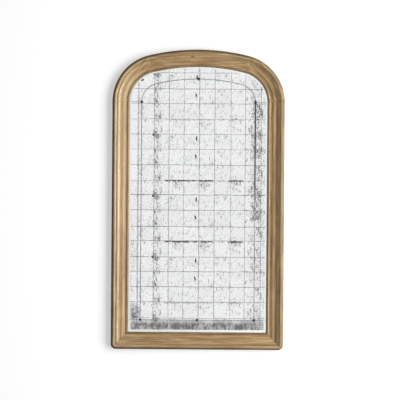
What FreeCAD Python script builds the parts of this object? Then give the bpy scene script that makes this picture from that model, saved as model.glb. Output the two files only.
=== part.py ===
"""Arched wall mirror: a moulded oak frame round seven panes of antiqued mirror glass.

Millimetres. +Z is up, the glass faces -Y and y = 0 is the wall. The origin lies on the wall, midway
between the two wall hooks, at the height where the hooks bear in the hanging rings.

Words used below: an inset is a distance in from the outline of the frame, and a depth is a distance
forward from the flat back of the frame.
"""

import FreeCAD, Part
import math
import os
import re
import Sketcher

Vector = FreeCAD.Vector
Rotation = FreeCAD.Rotation

doc = FreeCAD.newDocument("arched_mirror")
sizes = doc.addObject("Spreadsheet::Sheet", "sizes")

# ---------------------------------------------------------------- driving dimensions

DRIVING = (
    ("overall_width", 1000, "outside width of the frame"),
    ("overall_height", 1740, "outside height at the crown"),
    ("haunch_radius", 278, "outer radius of the two haunches of the arch"),
    ("crown_radius", 1218, "outer radius of the flat crown of the arch"),
    ("hook_below_spring", 155, "wall hooks below the spring of the arch"),
    # moulding, from the outside edge to the glass
    ("frame_depth", 45, "flat back to the ridge"),
    ("outer_round", 16, "radius of the outside edge, up to the ridge"),
    ("bead_run", 9, "ridge to the foot of the bead"),
    ("bead_drop", 4, "fall from the ridge to the foot of the bead"),
    ("fillet_width", 4, "each narrow flat step"),
    ("upper_ogee_run", 26, "width of the upper ogee"),
    ("upper_ogee_drop", 9, "fall of the upper ogee"),
    ("upper_ogee_turn", 0.42, "share of the upper ogee that is convex"),
    ("lower_ogee_run", 25, "width of the lower ogee"),
    ("lower_ogee_drop", 6, "fall of the lower ogee"),
    ("lower_ogee_turn", 0.42, "share of the lower ogee that is convex"),
    ("sight_bead_run", 16, "width of the bead beside the glass"),
    ("sight_bead_crest", 6.5, "groove to the crest of that bead"),
    ("sight_bead_drop", 3, "fall from the groove to the sight edge"),
    ("rebate_width", 10, "overlap of the frame on the glass side"),
    ("rebate_depth", 17, "depth of the rebate"),
    # glass and what backs it
    ("border_width", 70, "visible width of the border panes"),
    ("pane_joint", 1, "gap between two panes"),
    ("glass_clearance", 2, "glass and carrier board to the rebate wall"),
    ("glass_thickness", 4, "mirror glass"),
    ("tape_thickness", 1, "glazing tape"),
    ("tape_margin", 1.5, "rebate ledge left bare each side of the tape"),
    ("mastic_thickness", 2, "mastic pad"),
    ("mastic_radius", 20, "mastic pad"),
    ("pad_rows", 5, "mastic pads up the centre pane and up each side pane"),
    ("pad_columns", 3, "mastic pads across the centre pane"),
    ("bottom_pads", 4, "mastic pads behind the two bottom panes"),
    ("crown_pads", 2, "mastic pads behind the border at the crown"),
    ("board_thickness", 9, "plywood carrier board"),
    ("block_length", 60, "setting block under the board and the bottom panes"),
    ("block_spread", 230, "setting block off the centre line"),
    # pins at the pane corners
    ("pin_head_radius", 5.8, "domed head"),
    ("pin_head_height", 3.4, "domed head"),
    ("pin_rim", 0.8, "straight rim below the dome"),
    ("pin_radius", 1.5, "pin shank"),
    ("pin_bite", 6.5, "pin shank held in the board"),
    ("pin_notch", 3, "radius of the notch in the panes"),
    ("washer_radius", 4.5, "nylon washer under the head"),
    ("washer_thickness", 0.5, "nylon washer under the head"),
    # joints of the frame
    ("dowel_radius", 5, "beech dowel"),
    ("dowel_length", 40, "beech dowel"),
    ("dowel_outer_inset", 24, "outer dowel"),
    ("dowel_outer_depth", 20, "outer dowel"),
    ("dowel_inner_inset", 66, "inner dowel"),
    ("dowel_inner_depth", 13, "inner dowel"),
    ("tenon_width", 40, "loose tenon, along the mitre"),
    ("tenon_thickness", 8, "loose tenon"),
    ("tenon_length", 50, "loose tenon, across the mitre"),
    ("tenon_inset", 58, "middle of the loose tenon"),
    ("tenon_depth", 13, "middle of the loose tenon"),
    ("glue_gap", 0.1, "dowel or tenon to the wall of its socket"),
    ("end_gap", 1, "dowel or tenon to the bottom of its socket"),
    # retaining clips
    ("clip_width", 20, "offset clip"),
    ("clip_thickness", 1.5, "offset clip"),
    ("clip_tail", 12, "screw to the outer end of the clip"),
    ("clip_reach", 12, "clip beyond the rebate wall, over the board"),
    ("clip_wall_gap", 0.5, "rebate wall to the bend of the clip, clear of a curved wall too"),
    ("clip_screw_inset", 76, "clip screw"),
    ("clip_screw_length", 16, "under the head"),
    ("clip_screw_radius", 1.75, "shank"),
    ("clip_screw_head", 3.4, "head radius"),
    ("clip_screw_crown", 2.2, "head height"),
    ("stile_clips", 3, "clips on each stile"),
    ("rail_clips", 3, "clips on the bottom rail"),
    ("rail_clip_pitch", 260, "spacing of the clips on the bottom rail"),
    # hangers
    ("hanger_inset", 40, "middle of the hanger"),
    ("hanger_width", 18, "strap"),
    ("hanger_length", 70, "ring axis to the foot of the strap"),
    ("hanger_thickness", 1.5, "strap"),
    ("hanger_corner", 6, "rounded foot of the strap"),
    ("hanger_first_screw", 12, "ring axis to the first screw"),
    ("hanger_screw_pitch", 24, "screw to screw"),
    ("hanger_screws", 3, "screws in each strap"),
    ("hanger_screw_length", 28, "under the head"),
    ("hanger_screw_radius", 2, "shank"),
    ("hanger_screw_head", 4, "head radius"),
    ("hanger_screw_crown", 2.4, "head height"),
    ("wire_radius", 2, "ring wire"),
    ("ring_half_width", 15, "middle of the wire"),
    ("ring_corner", 4, "middle of the wire"),
    ("ring_reach", 25, "ring axis to the middle of the wire at the top"),
    ("ring_running_fit", 0.06, "ring bar to its knuckle"),
    ("ring_rest_gap", 0.3, "ring to the back of the frame"),
    # wall bumpers
    ("stand_off", 8, "bumper height, which is the gap behind the frame"),
    ("bumper_radius", 12, "at the frame"),
    ("bumper_face_radius", 10.5, "at the wall"),
    ("bumper_well_radius", 4.6, "recess for the screw head"),
    ("bumper_well_depth", 4, "recess for the screw head"),
    ("bumper_inset", 45, "middle of the bumper"),
    ("bumper_low", 130, "lower bumpers above the bottom edge"),
    ("bumper_below_spring", 60, "upper bumpers below the spring of the arch"),
    ("bumper_screw_length", 20, "under the head"),
    # what all the screws share
    ("hole_clearance", 0.05, "screw or pin to its pilot hole"),
    ("plate_clearance", 0.2, "screw to the hole in a clip, strap or bumper"),
    ("screw_point", 3, "length of the point"),
    ("recess_arm", 0.55, "half the width of an arm of the cross recess"),
    ("recess_share", 0.6, "reach of the cross recess, as a share of the head"),
    ("recess_depth", 1.3, "cross recess"),
    ("pilot_extra", 1, "pilot hole beyond the point"),
)

DERIVED = (
    ("half_width", "overall_width / 2"),
    ("haunch_offset", "half_width - haunch_radius"),
    ("crown_drop", "sqrt((crown_radius - haunch_radius) ^ 2 - haunch_offset ^ 2)"),
    ("crown_centre", "overall_height - crown_radius"),
    ("spring_height", "crown_centre + crown_drop"),
    ("hook_height", "spring_height - hook_below_spring"),
    ("crown_half_angle", "asin(haunch_offset / (crown_radius - haunch_radius)) / 1 deg"),
    ("haunch_angle", "90 - crown_half_angle"),
    ("side_depth", "frame_depth - outer_round"),
    ("bead_foot", "outer_round + bead_run"),
    ("corner_radius", "bead_foot + fillet_width"),
    ("upper_turn", "corner_radius + upper_ogee_turn * upper_ogee_run"),
    ("upper_foot", "corner_radius + upper_ogee_run"),
    ("lower_head", "upper_foot + fillet_width"),
    ("lower_turn", "lower_head + lower_ogee_turn * lower_ogee_run"),
    ("groove_inset", "lower_head + lower_ogee_run"),
    ("crest_inset", "groove_inset + sight_bead_crest"),
    ("face_width", "groove_inset + sight_bead_run"),
    ("rebate_inset", "face_width - rebate_width"),
    ("bead_depth", "frame_depth - bead_drop"),
    ("upper_turn_depth", "bead_depth - upper_ogee_turn * upper_ogee_drop"),
    ("step_depth", "bead_depth - upper_ogee_drop"),
    ("lower_turn_depth", "step_depth - lower_ogee_turn * lower_ogee_drop"),
    ("groove_depth", "step_depth - lower_ogee_drop"),
    ("sight_depth", "groove_depth - sight_bead_drop"),
    ("glass_front", "rebate_depth - tape_thickness"),
    ("glass_back", "glass_front - glass_thickness"),
    ("board_front", "glass_back - mastic_thickness"),
    ("board_back", "board_front - board_thickness"),
    ("pane_edge", "rebate_inset + glass_clearance"),
    ("border_inset", "face_width + border_width"),
    ("half_joint", "pane_joint / 2"),
    ("pin_length", "washer_thickness + glass_thickness + mastic_thickness + pin_bite"),
    ("socket_radius", "dowel_radius + glue_gap"),
    ("knuckle_bore", "wire_radius + ring_running_fit"),
    ("knuckle_radius", "knuckle_bore + hanger_thickness"),
    ("bumper_floor", "stand_off - bumper_well_depth"),
)

ALIASES = {row[0] for row in DRIVING + DERIVED}


def fill_sheet():
    """Write the driving sizes as numbers and the derived ones as formulas, each with its alias."""
    for row, (alias, number, note) in enumerate(DRIVING, start=1):
        sizes.set(f"A{row}", note)
        sizes.set(f"B{row}", str(number))
        sizes.setAlias(f"B{row}", alias)
    for row, (alias, formula) in enumerate(DERIVED, start=len(DRIVING) + 1):
        sizes.set(f"B{row}", "=" + formula)
        sizes.setAlias(f"B{row}", alias)
    doc.recompute()


def size(formula):
    """The present value of a formula of the sheet's sizes."""
    return float(sizes.evalExpression(formula))


def bound(formula):
    """The formula as another object has to write it, with the sheet's name before each alias."""
    return re.sub(r"[a-z]\w*", lambda word: "sizes." * (word.group() in ALIASES) + word.group(), formula)


# ---------------------------------------------------------------- sketches

# How a sketch numbers its own two axes, and the points of a line or arc.
AXIS_X, AXIS_Y = range(-1, -3, -1)
START, END, CENTRE = range(1, 4)
ON_AXIS = 1e-6


def tie(sketch, shape, point, axis, formula):
    """Hold one coordinate of a point of the sketch at a formula of the sheet's sizes."""
    now = size(formula)
    if abs(now) < ON_AXIS:
        line = AXIS_Y if axis == "X" else AXIS_X
        sketch.addConstraint(Sketcher.Constraint("PointOnObject", shape, point, line))
        return
    origin_and_point = (AXIS_X, START, shape, point)
    ends = origin_and_point if now > 0 else origin_and_point[2:] + origin_and_point[:2]
    index = sketch.addConstraint(Sketcher.Constraint("Distance" + axis, *ends, abs(now)))
    sign = 1 if now > 0 else -1
    sketch.setExpression(f"Constraints[{index}]", f"{sign} * ({bound(formula)})")


def hold(sketch, kind, shape, formula):
    """Hold the radius of an arc or circle at a formula of the sheet's sizes."""
    index = sketch.addConstraint(Sketcher.Constraint(kind, shape, size(formula)))
    sketch.setExpression(f"Constraints[{index}]", bound(formula))


def arc_between(start, end, centre_x, way):
    """The arc from start to end whose centre lies at centre_x; way is 1 anticlockwise, -1 clockwise."""
    squares = (end.x - centre_x) ** 2 - (start.x - centre_x) ** 2 + end.y**2 - start.y**2
    centre = Vector(centre_x, squares / (2 * (end.y - start.y)), 0)
    first, last = (start, end) if way > 0 else (end, start)
    angles = [math.atan2(point.y - centre.y, point.x - centre.x) for point in (first, last)]
    if angles[1] <= angles[0]:
        angles[1] += 2 * math.pi
    circle = Part.Circle(centre, Vector(0, 0, 1), centre.distanceToPoint(start))
    return Part.ArcOfCircle(circle, *angles)


def outline(sketch, corners):
    """Draw a closed outline whose corners are (x, y), or (x, y, centre x, way) at the end of an arc."""
    points = [Vector(size(corner[0]), size(corner[1]), 0) for corner in corners]
    ends = []
    for index, corner in enumerate(corners):
        start, end = points[index - 1], points[index]
        if len(corner) == 2:
            shape = sketch.addGeometry(Part.LineSegment(start, end), False)
            ends.append((shape, START, END))
            continue
        centre_x, way = corner[2:]
        shape = sketch.addGeometry(arc_between(start, end, size(centre_x), way), False)
        ends.append((shape, START, END) if way > 0 else (shape, END, START))
    for index, corner in enumerate(corners):
        shape, _, end = ends[index]
        following, start, _ = ends[(index + 1) % len(ends)]
        sketch.addConstraint(Sketcher.Constraint("Coincident", shape, end, following, start))
        tie(sketch, shape, end, "X", corner[0])
        tie(sketch, shape, end, "Y", corner[1])
        if len(corner) > 2:
            tie(sketch, shape, CENTRE, "X", corner[2])


def rectangle(sketch, left, right, bottom, top):
    outline(sketch, ((left, bottom), (right, bottom), (right, top), (left, top)))


def circles(sketch, centres, radius):
    """Draw one circle of the given radius at each (x, y)."""
    for x, y in centres:
        middle = Vector(size(x), size(y), 0)
        shape = sketch.addGeometry(Part.Circle(middle, Vector(0, 0, 1), size(radius)), False)
        tie(sketch, shape, CENTRE, "X", x)
        tie(sketch, shape, CENTRE, "Y", y)
        hold(sketch, "Radius", shape, radius)


def stadium(sketch, width, thickness, middle_y):
    """Draw a slot with round ends, centred at x = 0."""
    flat = f"({width} - {thickness}) / 2"
    low = f"{middle_y} - {thickness} / 2"
    high = f"{middle_y} + {thickness} / 2"
    corners = (
        (flat, low),
        (flat, high, flat, 1),
        (f"-{flat}", high),
        (f"-{flat}", low, f"-{flat}", 1),
    )
    outline(sketch, corners)


def arch(sketch, inset):
    """Draw the outline of the whole mirror, moved in by the inset: a box under a three-centred arch."""
    side, low, spring = size(f"half_width - {inset}"), size(inset), size("spring_height")
    haunch, crown = size(f"haunch_radius - {inset}"), size(f"crown_radius - {inset}")
    offset, turn = size("haunch_offset"), math.radians(size("haunch_angle"))
    normal = Vector(0, 0, 1)
    right_centre, left_centre = Vector(offset, spring, 0), Vector(-offset, spring, 0)
    top_centre = Vector(0, size("crown_centre"), 0)
    shapes = (
        Part.LineSegment(Vector(-side, low, 0), Vector(side, low, 0)),
        Part.LineSegment(Vector(side, low, 0), Vector(side, spring, 0)),
        Part.ArcOfCircle(Part.Circle(right_centre, normal, haunch), 0, turn),
        Part.ArcOfCircle(Part.Circle(top_centre, normal, crown), turn, math.pi - turn),
        Part.ArcOfCircle(Part.Circle(left_centre, normal, haunch), math.pi - turn, math.pi),
        Part.LineSegment(Vector(-side, spring, 0), Vector(-side, low, 0)),
    )
    base, right, right_haunch, top, left_haunch, left = [sketch.addGeometry(s, False) for s in shapes]
    for constraint in (
        Sketcher.Constraint("Coincident", base, END, right, START),
        Sketcher.Constraint("Coincident", left, END, base, START),
        Sketcher.Constraint("Tangent", right, END, right_haunch, START),
        Sketcher.Constraint("Tangent", right_haunch, END, top, START),
        Sketcher.Constraint("Tangent", top, END, left_haunch, START),
        Sketcher.Constraint("Tangent", left_haunch, END, left, START),
        Sketcher.Constraint("Vertical", right),
        Sketcher.Constraint("Vertical", left),
        Sketcher.Constraint("Symmetric", base, START, base, END, AXIS_Y),
        Sketcher.Constraint("PointOnObject", top, CENTRE, AXIS_Y),
        Sketcher.Constraint("Equal", right_haunch, left_haunch),
    ):
        sketch.addConstraint(constraint)
    hold(sketch, "Radius", right_haunch, f"haunch_radius - {inset}")
    hold(sketch, "Radius", top, f"crown_radius - {inset}")
    tie(sketch, base, END, "X", f"half_width - {inset}")
    tie(sketch, base, END, "Y", inset)
    tie(sketch, right_haunch, CENTRE, "Y", "spring_height")


# ---------------------------------------------------------------- bodies and features


def new_body(name):
    body = doc.addObject("PartDesign::Body", name)
    body.Label = name
    return body


def sketch_on(body, plane, shift=("0", "0", "0"), turn="0"):
    """A sketch on one of the body's own planes, shifted along it and turned about its Y axis."""
    sketch = body.newObject("Sketcher::SketchObject", f"{body.Label}_sketch")
    support = next(part for part in body.Origin.OriginFeatures if part.Role == plane)
    sketch.AttachmentSupport = [(support, "")]
    sketch.MapMode = "FlatFace"
    origin = Vector(*(size(formula) for formula in shift))
    sketch.AttachmentOffset = FreeCAD.Placement(origin, Rotation(Vector(0, 1, 0), size(turn)))
    for axis, formula in zip("xyz", shift):
        sketch.setExpression(f".AttachmentOffset.Base.{axis}", bound(formula))
    if turn != "0":
        sketch.setExpression(".AttachmentOffset.Rotation.Angle", bound(turn))
    return sketch


def feature_on(body, kind, sketch, reverse=False):
    doc.recompute()
    feature = body.newObject(f"PartDesign::{kind}", f"{body.Label}_{kind.lower()}")
    feature.Profile = sketch
    feature.Reversed = reverse
    return feature


def pad(body, sketch, length, symmetric=False):
    feature = feature_on(body, "Pad", sketch)
    feature.SideType = "Symmetric" if symmetric else "One side"
    feature.setExpression("Length", bound(length))
    doc.recompute()


def pocket(body, sketch, depth, reverse=False):
    """Cut the sketch into the body, and make sure that it met wood, glass or metal."""
    before = body.Shape.Volume
    feature = feature_on(body, "Pocket", sketch, reverse)
    feature.setExpression("Length", bound(depth))
    doc.recompute()
    if body.Shape.Volume >= before:
        raise RuntimeError(f"{feature.Name} cuts nothing")


def revolve(body, sketch, angle="360", reverse=False):
    """Turn the sketch about its own vertical axis."""
    feature = feature_on(body, "Revolution", sketch, reverse)
    feature.ReferenceAxis = (sketch, ["V_Axis"])
    feature.setExpression("Angle", bound(angle))
    doc.recompute()


def put(thing, x="0", depth="0", z="0", turn=0.0):
    """Place something by x, by its depth before the back of the frame, and by z above the bottom edge."""
    base = Vector(size(x), -size(f"stand_off + {depth}"), size(f"{z} - hook_height"))
    thing.Placement = FreeCAD.Placement(base, Rotation(Vector(0, 1, 0), turn))
    return thing


def mirrored(name, source):
    """The left-hand twin of a right-hand piece."""
    twin = doc.addObject("Part::Mirroring", name)
    twin.Label = name
    twin.Source = source
    twin.Normal = Vector(1, 0, 0)
    return twin


def group(name, original, placements):
    """Like fasteners kept as one part: a copy of the original at each placement."""
    copies = []
    for number, placement in enumerate(placements, start=1):
        copy = doc.addObject("App::Link", f"{name}_{number}")
        copy.LinkedObject = original
        copy.Placement = placement
        copies.append(copy)
    whole = doc.addObject("Part::Compound", name)
    whole.Label = name
    whole.Links = copies
    return whole


FACING_WALL = Rotation(Vector(1, 0, 0), -90)
FACING_ROOM = Rotation(Vector(1, 0, 0), 90)


def spot(x, depth, z, rotation=FACING_WALL):
    """A placement from x, the depth before the back of the frame and z above the bottom edge."""
    return FreeCAD.Placement(Vector(x, -size("stand_off") - depth, z - size("hook_height")), rotation)


# ---------------------------------------------------------------- the moulded frame

# Moulding from the outside edge inwards: inset, depth, and for an arc the inset of its centre and
# whether it bulges (-1) or hollows (1).
BEAD = (
    ("0", "0"),
    ("0", "side_depth"),
    ("outer_round", "frame_depth", "outer_round", -1),
    ("bead_foot", "bead_depth", "outer_round", -1),
    ("corner_radius", "bead_depth"),
)
OGEES = (
    ("upper_turn", "upper_turn_depth", "corner_radius", -1),
    ("upper_foot", "step_depth", "upper_foot", 1),
    ("lower_head", "step_depth"),
    ("lower_turn", "lower_turn_depth", "lower_head", -1),
    ("groove_inset", "groove_depth", "groove_inset", 1),
    ("face_width", "sight_depth", "crest_inset", -1),
    ("face_width", "rebate_depth"),
    ("rebate_inset", "rebate_depth"),
    ("rebate_inset", "0"),
)
BEAD_BACK = (("corner_radius", "0"),)


def section(sketch, edge, knots):
    """Draw the moulding with its outside edge at x = edge and its front towards -Y."""
    corners = []
    for inset, depth, *arc in knots:
        corner = (f"{edge} - {inset}", f"-{depth}")
        if arc:
            corner += (f"{edge} - {arc[0]}", arc[1])
        corners.append(corner)
    outline(sketch, corners)


def straight_length(body, foot, length):
    """The moulding drawn straight up from the foot, its outside edge at x = half_width."""
    sketch = sketch_on(body, "XY_Plane", ("0", "0", foot))
    section(sketch, "half_width", BEAD + OGEES)
    pad(body, sketch, length)


def round_corner(body, end, reverse=False):
    """Carry the bead round half of a bottom corner, as far as the mitre."""
    sketch = sketch_on(body, "XY_Plane", ("half_width - corner_radius", "0", end))
    section(sketch, "corner_radius", BEAD + BEAD_BACK)
    revolve(body, sketch, "45", reverse)


def mitre(body, end, inward):
    """Cut the part of the moulding inside the bead back to the mitre; inward is the sign along z."""
    sketch = sketch_on(body, "XZ_Plane")
    bead_edge, sight_edge = "half_width - corner_radius", "half_width - face_width"
    reach = f"({end}) {inward} (face_width - corner_radius)"
    outline(sketch, ((bead_edge, end), (sight_edge, end), (sight_edge, reach)))
    pocket(body, sketch, "frame_depth", reverse=True)


def mitre_socket(body, end, inward, turn, reverse):
    """Sink the socket of the loose tenon square to the mitre face."""
    middle = f"({end}) {inward} (tenon_inset - corner_radius)"
    sketch = sketch_on(body, "XY_Plane", ("half_width - tenon_inset", "0", middle), turn)
    stadium(sketch, "(tenon_width + 2 * glue_gap)", "(tenon_thickness + 2 * glue_gap)", "-tenon_depth")
    pocket(body, sketch, "tenon_length / 2 + end_gap", reverse)


def dowel_sockets(body, edge, shift="0", turn="0", reverse=False):
    """Sink the two dowel sockets into an end of a length of moulding."""
    sketch = sketch_on(body, "XY_Plane", ("0", "0", shift), turn)
    centres = (
        (f"{edge} - dowel_outer_inset", "-dowel_outer_depth"),
        (f"{edge} - dowel_inner_inset", "-dowel_inner_depth"),
    )
    circles(sketch, centres, "socket_radius")
    pocket(body, sketch, "dowel_length / 2 + end_gap", reverse)


def pilot_holes(body, centres, radius, depth):
    """Drill pilot holes into the flat back; the centres are in the plane of the back."""
    sketch = sketch_on(body, "XZ_Plane")
    circles(sketch, centres, f"{radius} + hole_clearance")
    pocket(body, sketch, f"{depth} + pilot_extra", reverse=True)


def counted(formula):
    return range(int(round(size(formula))))


HANGER_SCREW_BITE = "hanger_screw_length - hanger_thickness"
CLIP_SCREW_BITE = "clip_screw_length - clip_thickness"
BUMPER_SCREW_BITE = "bumper_screw_length - bumper_floor"
RING_AXIS = "(hook_height - ring_reach + wire_radius)"
CLIP_X = "half_width - clip_screw_inset"
BUMPER_X = "half_width - bumper_inset"
BUMPER_LEVELS = {"lower": "bumper_low", "upper": "spring_height - bumper_below_spring"}


def stile_clip_level(number):
    return f"spring_height * ({number} + 0.5) / stile_clips"


def rail_clip_place(number):
    return f"({number} - (rail_clips - 1) / 2) * rail_clip_pitch"


def hanger_screw_level(number):
    return f"{RING_AXIS} - hanger_first_screw - {number} * hanger_screw_pitch"


def make_stile():
    body = new_body("right_stile")
    straight_length(body, "corner_radius", "spring_height - corner_radius")
    round_corner(body, "corner_radius")
    mitre(body, "corner_radius", "+")
    mitre_socket(body, "corner_radius", "+", "45", reverse=True)
    dowel_sockets(body, "half_width", "spring_height")
    hanger_x = "half_width - hanger_inset"
    hanger_holes = [(hanger_x, hanger_screw_level(number)) for number in counted("hanger_screws")]
    clip_holes = [(CLIP_X, stile_clip_level(number)) for number in counted("stile_clips")]
    bumper_holes = [(BUMPER_X, level) for level in BUMPER_LEVELS.values()]
    pilot_holes(body, hanger_holes, "hanger_screw_radius", HANGER_SCREW_BITE)
    pilot_holes(body, clip_holes, "clip_screw_radius", CLIP_SCREW_BITE)
    pilot_holes(body, bumper_holes, "clip_screw_radius", BUMPER_SCREW_BITE)
    return put(body)


def make_bottom_rail():
    """The rail is drawn upright at x = half_width, then laid down with its outside edge at the bottom."""
    body = new_body("bottom_rail")
    end = "half_width - corner_radius"
    straight_length(body, f"-({end})", f"2 * ({end})")
    round_corner(body, f"-({end})")
    round_corner(body, end, reverse=True)
    mitre(body, f"-({end})", "+")
    mitre(body, end, "-")
    mitre_socket(body, f"-({end})", "+", "45", reverse=True)
    mitre_socket(body, end, "-", "-45", reverse=False)
    clip_holes = [(CLIP_X, rail_clip_place(number)) for number in counted("rail_clips")]
    pilot_holes(body, clip_holes, "clip_screw_radius", CLIP_SCREW_BITE)
    return put(body, z="half_width", turn=90)


def curved_length(name, edge, angle):
    """A curved length of moulding that turns about the Y axis, from +X towards -Z, dowelled at both ends."""
    body = new_body(name)
    sketch = sketch_on(body, "XY_Plane")
    section(sketch, edge, BEAD + OGEES)
    revolve(body, sketch, angle)
    dowel_sockets(body, edge)
    dowel_sockets(body, edge, turn=angle, reverse=True)
    reach = f"({edge} - clip_screw_inset)"
    middle = (f"{reach} * cos({angle} / 2)", f"-{reach} * sin({angle} / 2)")
    pilot_holes(body, [middle], "clip_screw_radius", CLIP_SCREW_BITE)
    return body


def make_frame():
    """The six moulded lengths: two stiles, the bottom rail, two haunches and the crown."""
    right_stile = make_stile()
    right_haunch = curved_length("arch_right_haunch", "haunch_radius", "haunch_angle")
    left_haunch = curved_length("arch_left_haunch", "haunch_radius", "haunch_angle")
    crown = curved_length("arch_crown", "crown_radius", "(2 * crown_half_angle)")
    return [
        mirrored("left_stile", right_stile),
        right_stile,
        make_bottom_rail(),
        put(left_haunch, x="-haunch_offset", z="spring_height", turn=180),
        put(crown, z="crown_centre", turn=-90 - size("crown_half_angle")),
        put(right_haunch, x="haunch_offset", z="spring_height", turn=-size("haunch_angle")),
    ]


def along_member(x, z, turn, inset, edge, depth, back):
    """A placement on a curved or straight member: from the centre of its curve, out to the inset."""
    frame = spot(x, 0, z, Rotation(Vector(0, 1, 0), -turn))
    return frame * FreeCAD.Placement(Vector(edge - inset, -depth, -back), Rotation())


def make_joints():
    """The beech dowels of the arch and the loose tenons of the mitres."""
    dowel = doc.addObject("Part::Cylinder", "dowel")
    dowel.setExpression("Radius", bound("dowel_radius"))
    dowel.setExpression("Height", bound("dowel_length"))
    offset, spring, haunch = size("haunch_offset"), size("spring_height"), size("haunch_radius")
    half_dowel = size("dowel_length") / 2
    joints = {
        "right_spring": (offset, 0),
        "right_crown": (offset, size("haunch_angle")),
        "left_crown": (-offset, 180 - size("haunch_angle")),
        "left_spring": (-offset, 180),
    }
    placements = []
    for centre_x, turn in joints.values():
        for which in ("outer", "inner"):
            inset, depth = size(f"dowel_{which}_inset"), size(f"dowel_{which}_depth")
            placements.append(along_member(centre_x, spring, turn, inset, haunch, depth, half_dowel))
    tenon = new_body("tenon")
    sketch = sketch_on(tenon, "XY_Plane")
    stadium(sketch, "tenon_width", "tenon_thickness", "0")
    pad(tenon, sketch, "tenon_length", symmetric=True)
    reach, depth = size("half_width - tenon_inset"), size("tenon_depth")
    corners = [
        spot(side * reach, depth, size("tenon_inset"), Rotation(Vector(0, 1, 0), side * 45))
        for side in (-1, 1)
    ]
    return [group("arch_dowels", dowel, placements), group("mitre_tenons", tenon, corners)]


# ---------------------------------------------------------------- glass, board and what joins them

PANE_SIDE = "half_width - border_inset"
PIN_PLACES = (
    (f"-({PANE_SIDE})", "border_inset"),
    ("0", "border_inset"),
    (PANE_SIDE, "border_inset"),
    (f"-({PANE_SIDE})", "spring_height"),
    (PANE_SIDE, "spring_height"),
    ("0", "overall_height - border_inset"),
)


def finish_pane(body):
    """Notch a pane where it would meet a pin, and put it in its place."""
    near = []
    for x, z in PIN_PLACES:
        middle = Part.Vertex(Vector(size(x), 0, size(z)))
        if body.Shape.distToShape(middle)[0] < size("pin_notch"):
            near.append((x, z))
    notches = sketch_on(body, "XZ_Plane")
    circles(notches, near, "pin_notch")
    pocket(body, notches, "glass_thickness", reverse=True)
    return put(body, depth="glass_back")


def make_side_pane():
    body = new_body("glass_side_right")
    sketch = sketch_on(body, "XZ_Plane")
    left, right = f"{PANE_SIDE} + half_joint", "half_width - pane_edge"
    rectangle(sketch, left, right, "border_inset + half_joint", "spring_height - half_joint")
    pad(body, sketch, "glass_thickness")
    return finish_pane(body)


def make_bottom_pane():
    body = new_body("glass_bottom_right")
    sketch = sketch_on(body, "XZ_Plane")
    rectangle(sketch, "half_joint", "half_width - pane_edge", "pane_edge", "border_inset - half_joint")
    pad(body, sketch, "glass_thickness")
    return finish_pane(body)


def make_centre_pane():
    body = new_body("glass_centre")
    sketch = sketch_on(body, "XZ_Plane")
    arch(sketch, "(border_inset + half_joint)")
    pad(body, sketch, "glass_thickness")
    return finish_pane(body)


def make_arch_pane():
    """The band between two arches, with what lies below the spring and left of the crown cut away."""
    body = new_body("glass_arch_right")
    sketch = sketch_on(body, "XZ_Plane")
    arch(sketch, "pane_edge")
    arch(sketch, "(border_inset - half_joint)")
    pad(body, sketch, "glass_thickness")
    waste = sketch_on(body, "XZ_Plane")
    corners = (
        ("-half_width", "0"),
        ("half_width", "0"),
        ("half_width", "spring_height + half_joint"),
        ("half_joint", "spring_height + half_joint"),
        ("half_joint", "overall_height"),
        ("-half_width", "overall_height"),
    )
    outline(waste, corners)
    pocket(body, waste, "glass_thickness", reverse=True)
    return finish_pane(body)


def make_panes():
    """Seven panes: the arched centre pane, and a pair each at the arch, the sides and the bottom."""
    panes = [make_centre_pane()]
    for pane in (make_arch_pane(), make_side_pane(), make_bottom_pane()):
        panes.append(mirrored(pane.Label.replace("right", "left"), pane))
        panes.append(pane)
    return panes


def make_board():
    body = new_body("carrier_board")
    sketch = sketch_on(body, "XZ_Plane")
    arch(sketch, "pane_edge")
    pad(body, sketch, "board_thickness")
    holes = sketch_on(body, "XZ_Plane", ("0", "0", "board_thickness"))
    circles(holes, PIN_PLACES, "pin_radius + hole_clearance")
    pocket(body, holes, "pin_bite + pilot_extra")
    return put(body, depth="board_back")


def make_tape():
    """Foam glazing tape all round the ledge of the rebate, in front of the glass."""
    body = new_body("glazing_tape")
    sketch = sketch_on(body, "XZ_Plane")
    arch(sketch, "(rebate_inset + tape_margin)")
    arch(sketch, "(face_width - tape_margin)")
    pad(body, sketch, "tape_thickness")
    return put(body, depth="glass_front")


def spread(count):
    """The middles of equal shares of the span from -1 to 1, as many as the sheet's count says."""
    return [(2 * number + 1) / size(count) - 1 for number in counted(count)]


def make_mastic():
    """Mastic pads that hold the panes on the board: a grid behind the centre pane, and the border."""
    blob = doc.addObject("Part::Cylinder", "mastic_pad")
    blob.setExpression("Radius", bound("mastic_radius"))
    blob.setExpression("Height", bound("mastic_thickness"))
    low, spring, side = size("border_inset"), size("spring_height"), size(PANE_SIDE)
    border = size("(pane_edge + border_inset) / 2")
    border_x = size("half_width") - border
    places = [(share * border_x, border) for share in spread("bottom_pads")]
    for level in spread("pad_rows"):
        z = low + (spring - low) * (level + 1) / 2
        places += [(share * side, z) for share in spread("pad_columns")]
        places += [(-border_x, z), (border_x, z)]
    haunch = size("haunch_radius") - border
    middle = math.radians(size("haunch_angle") / 2)
    for way in (-1, 1):
        x = size("haunch_offset") + haunch * math.cos(middle)
        places.append((way * x, spring + haunch * math.sin(middle)))
    crown = size("crown_radius") - border
    for share in spread("crown_pads"):
        angle = math.radians(share * size("crown_half_angle"))
        places.append((crown * math.sin(angle), size("crown_centre") + crown * math.cos(angle)))
    return group("mastic_pads", blob, [spot(x, size("glass_back"), z) for x, z in places])


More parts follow.
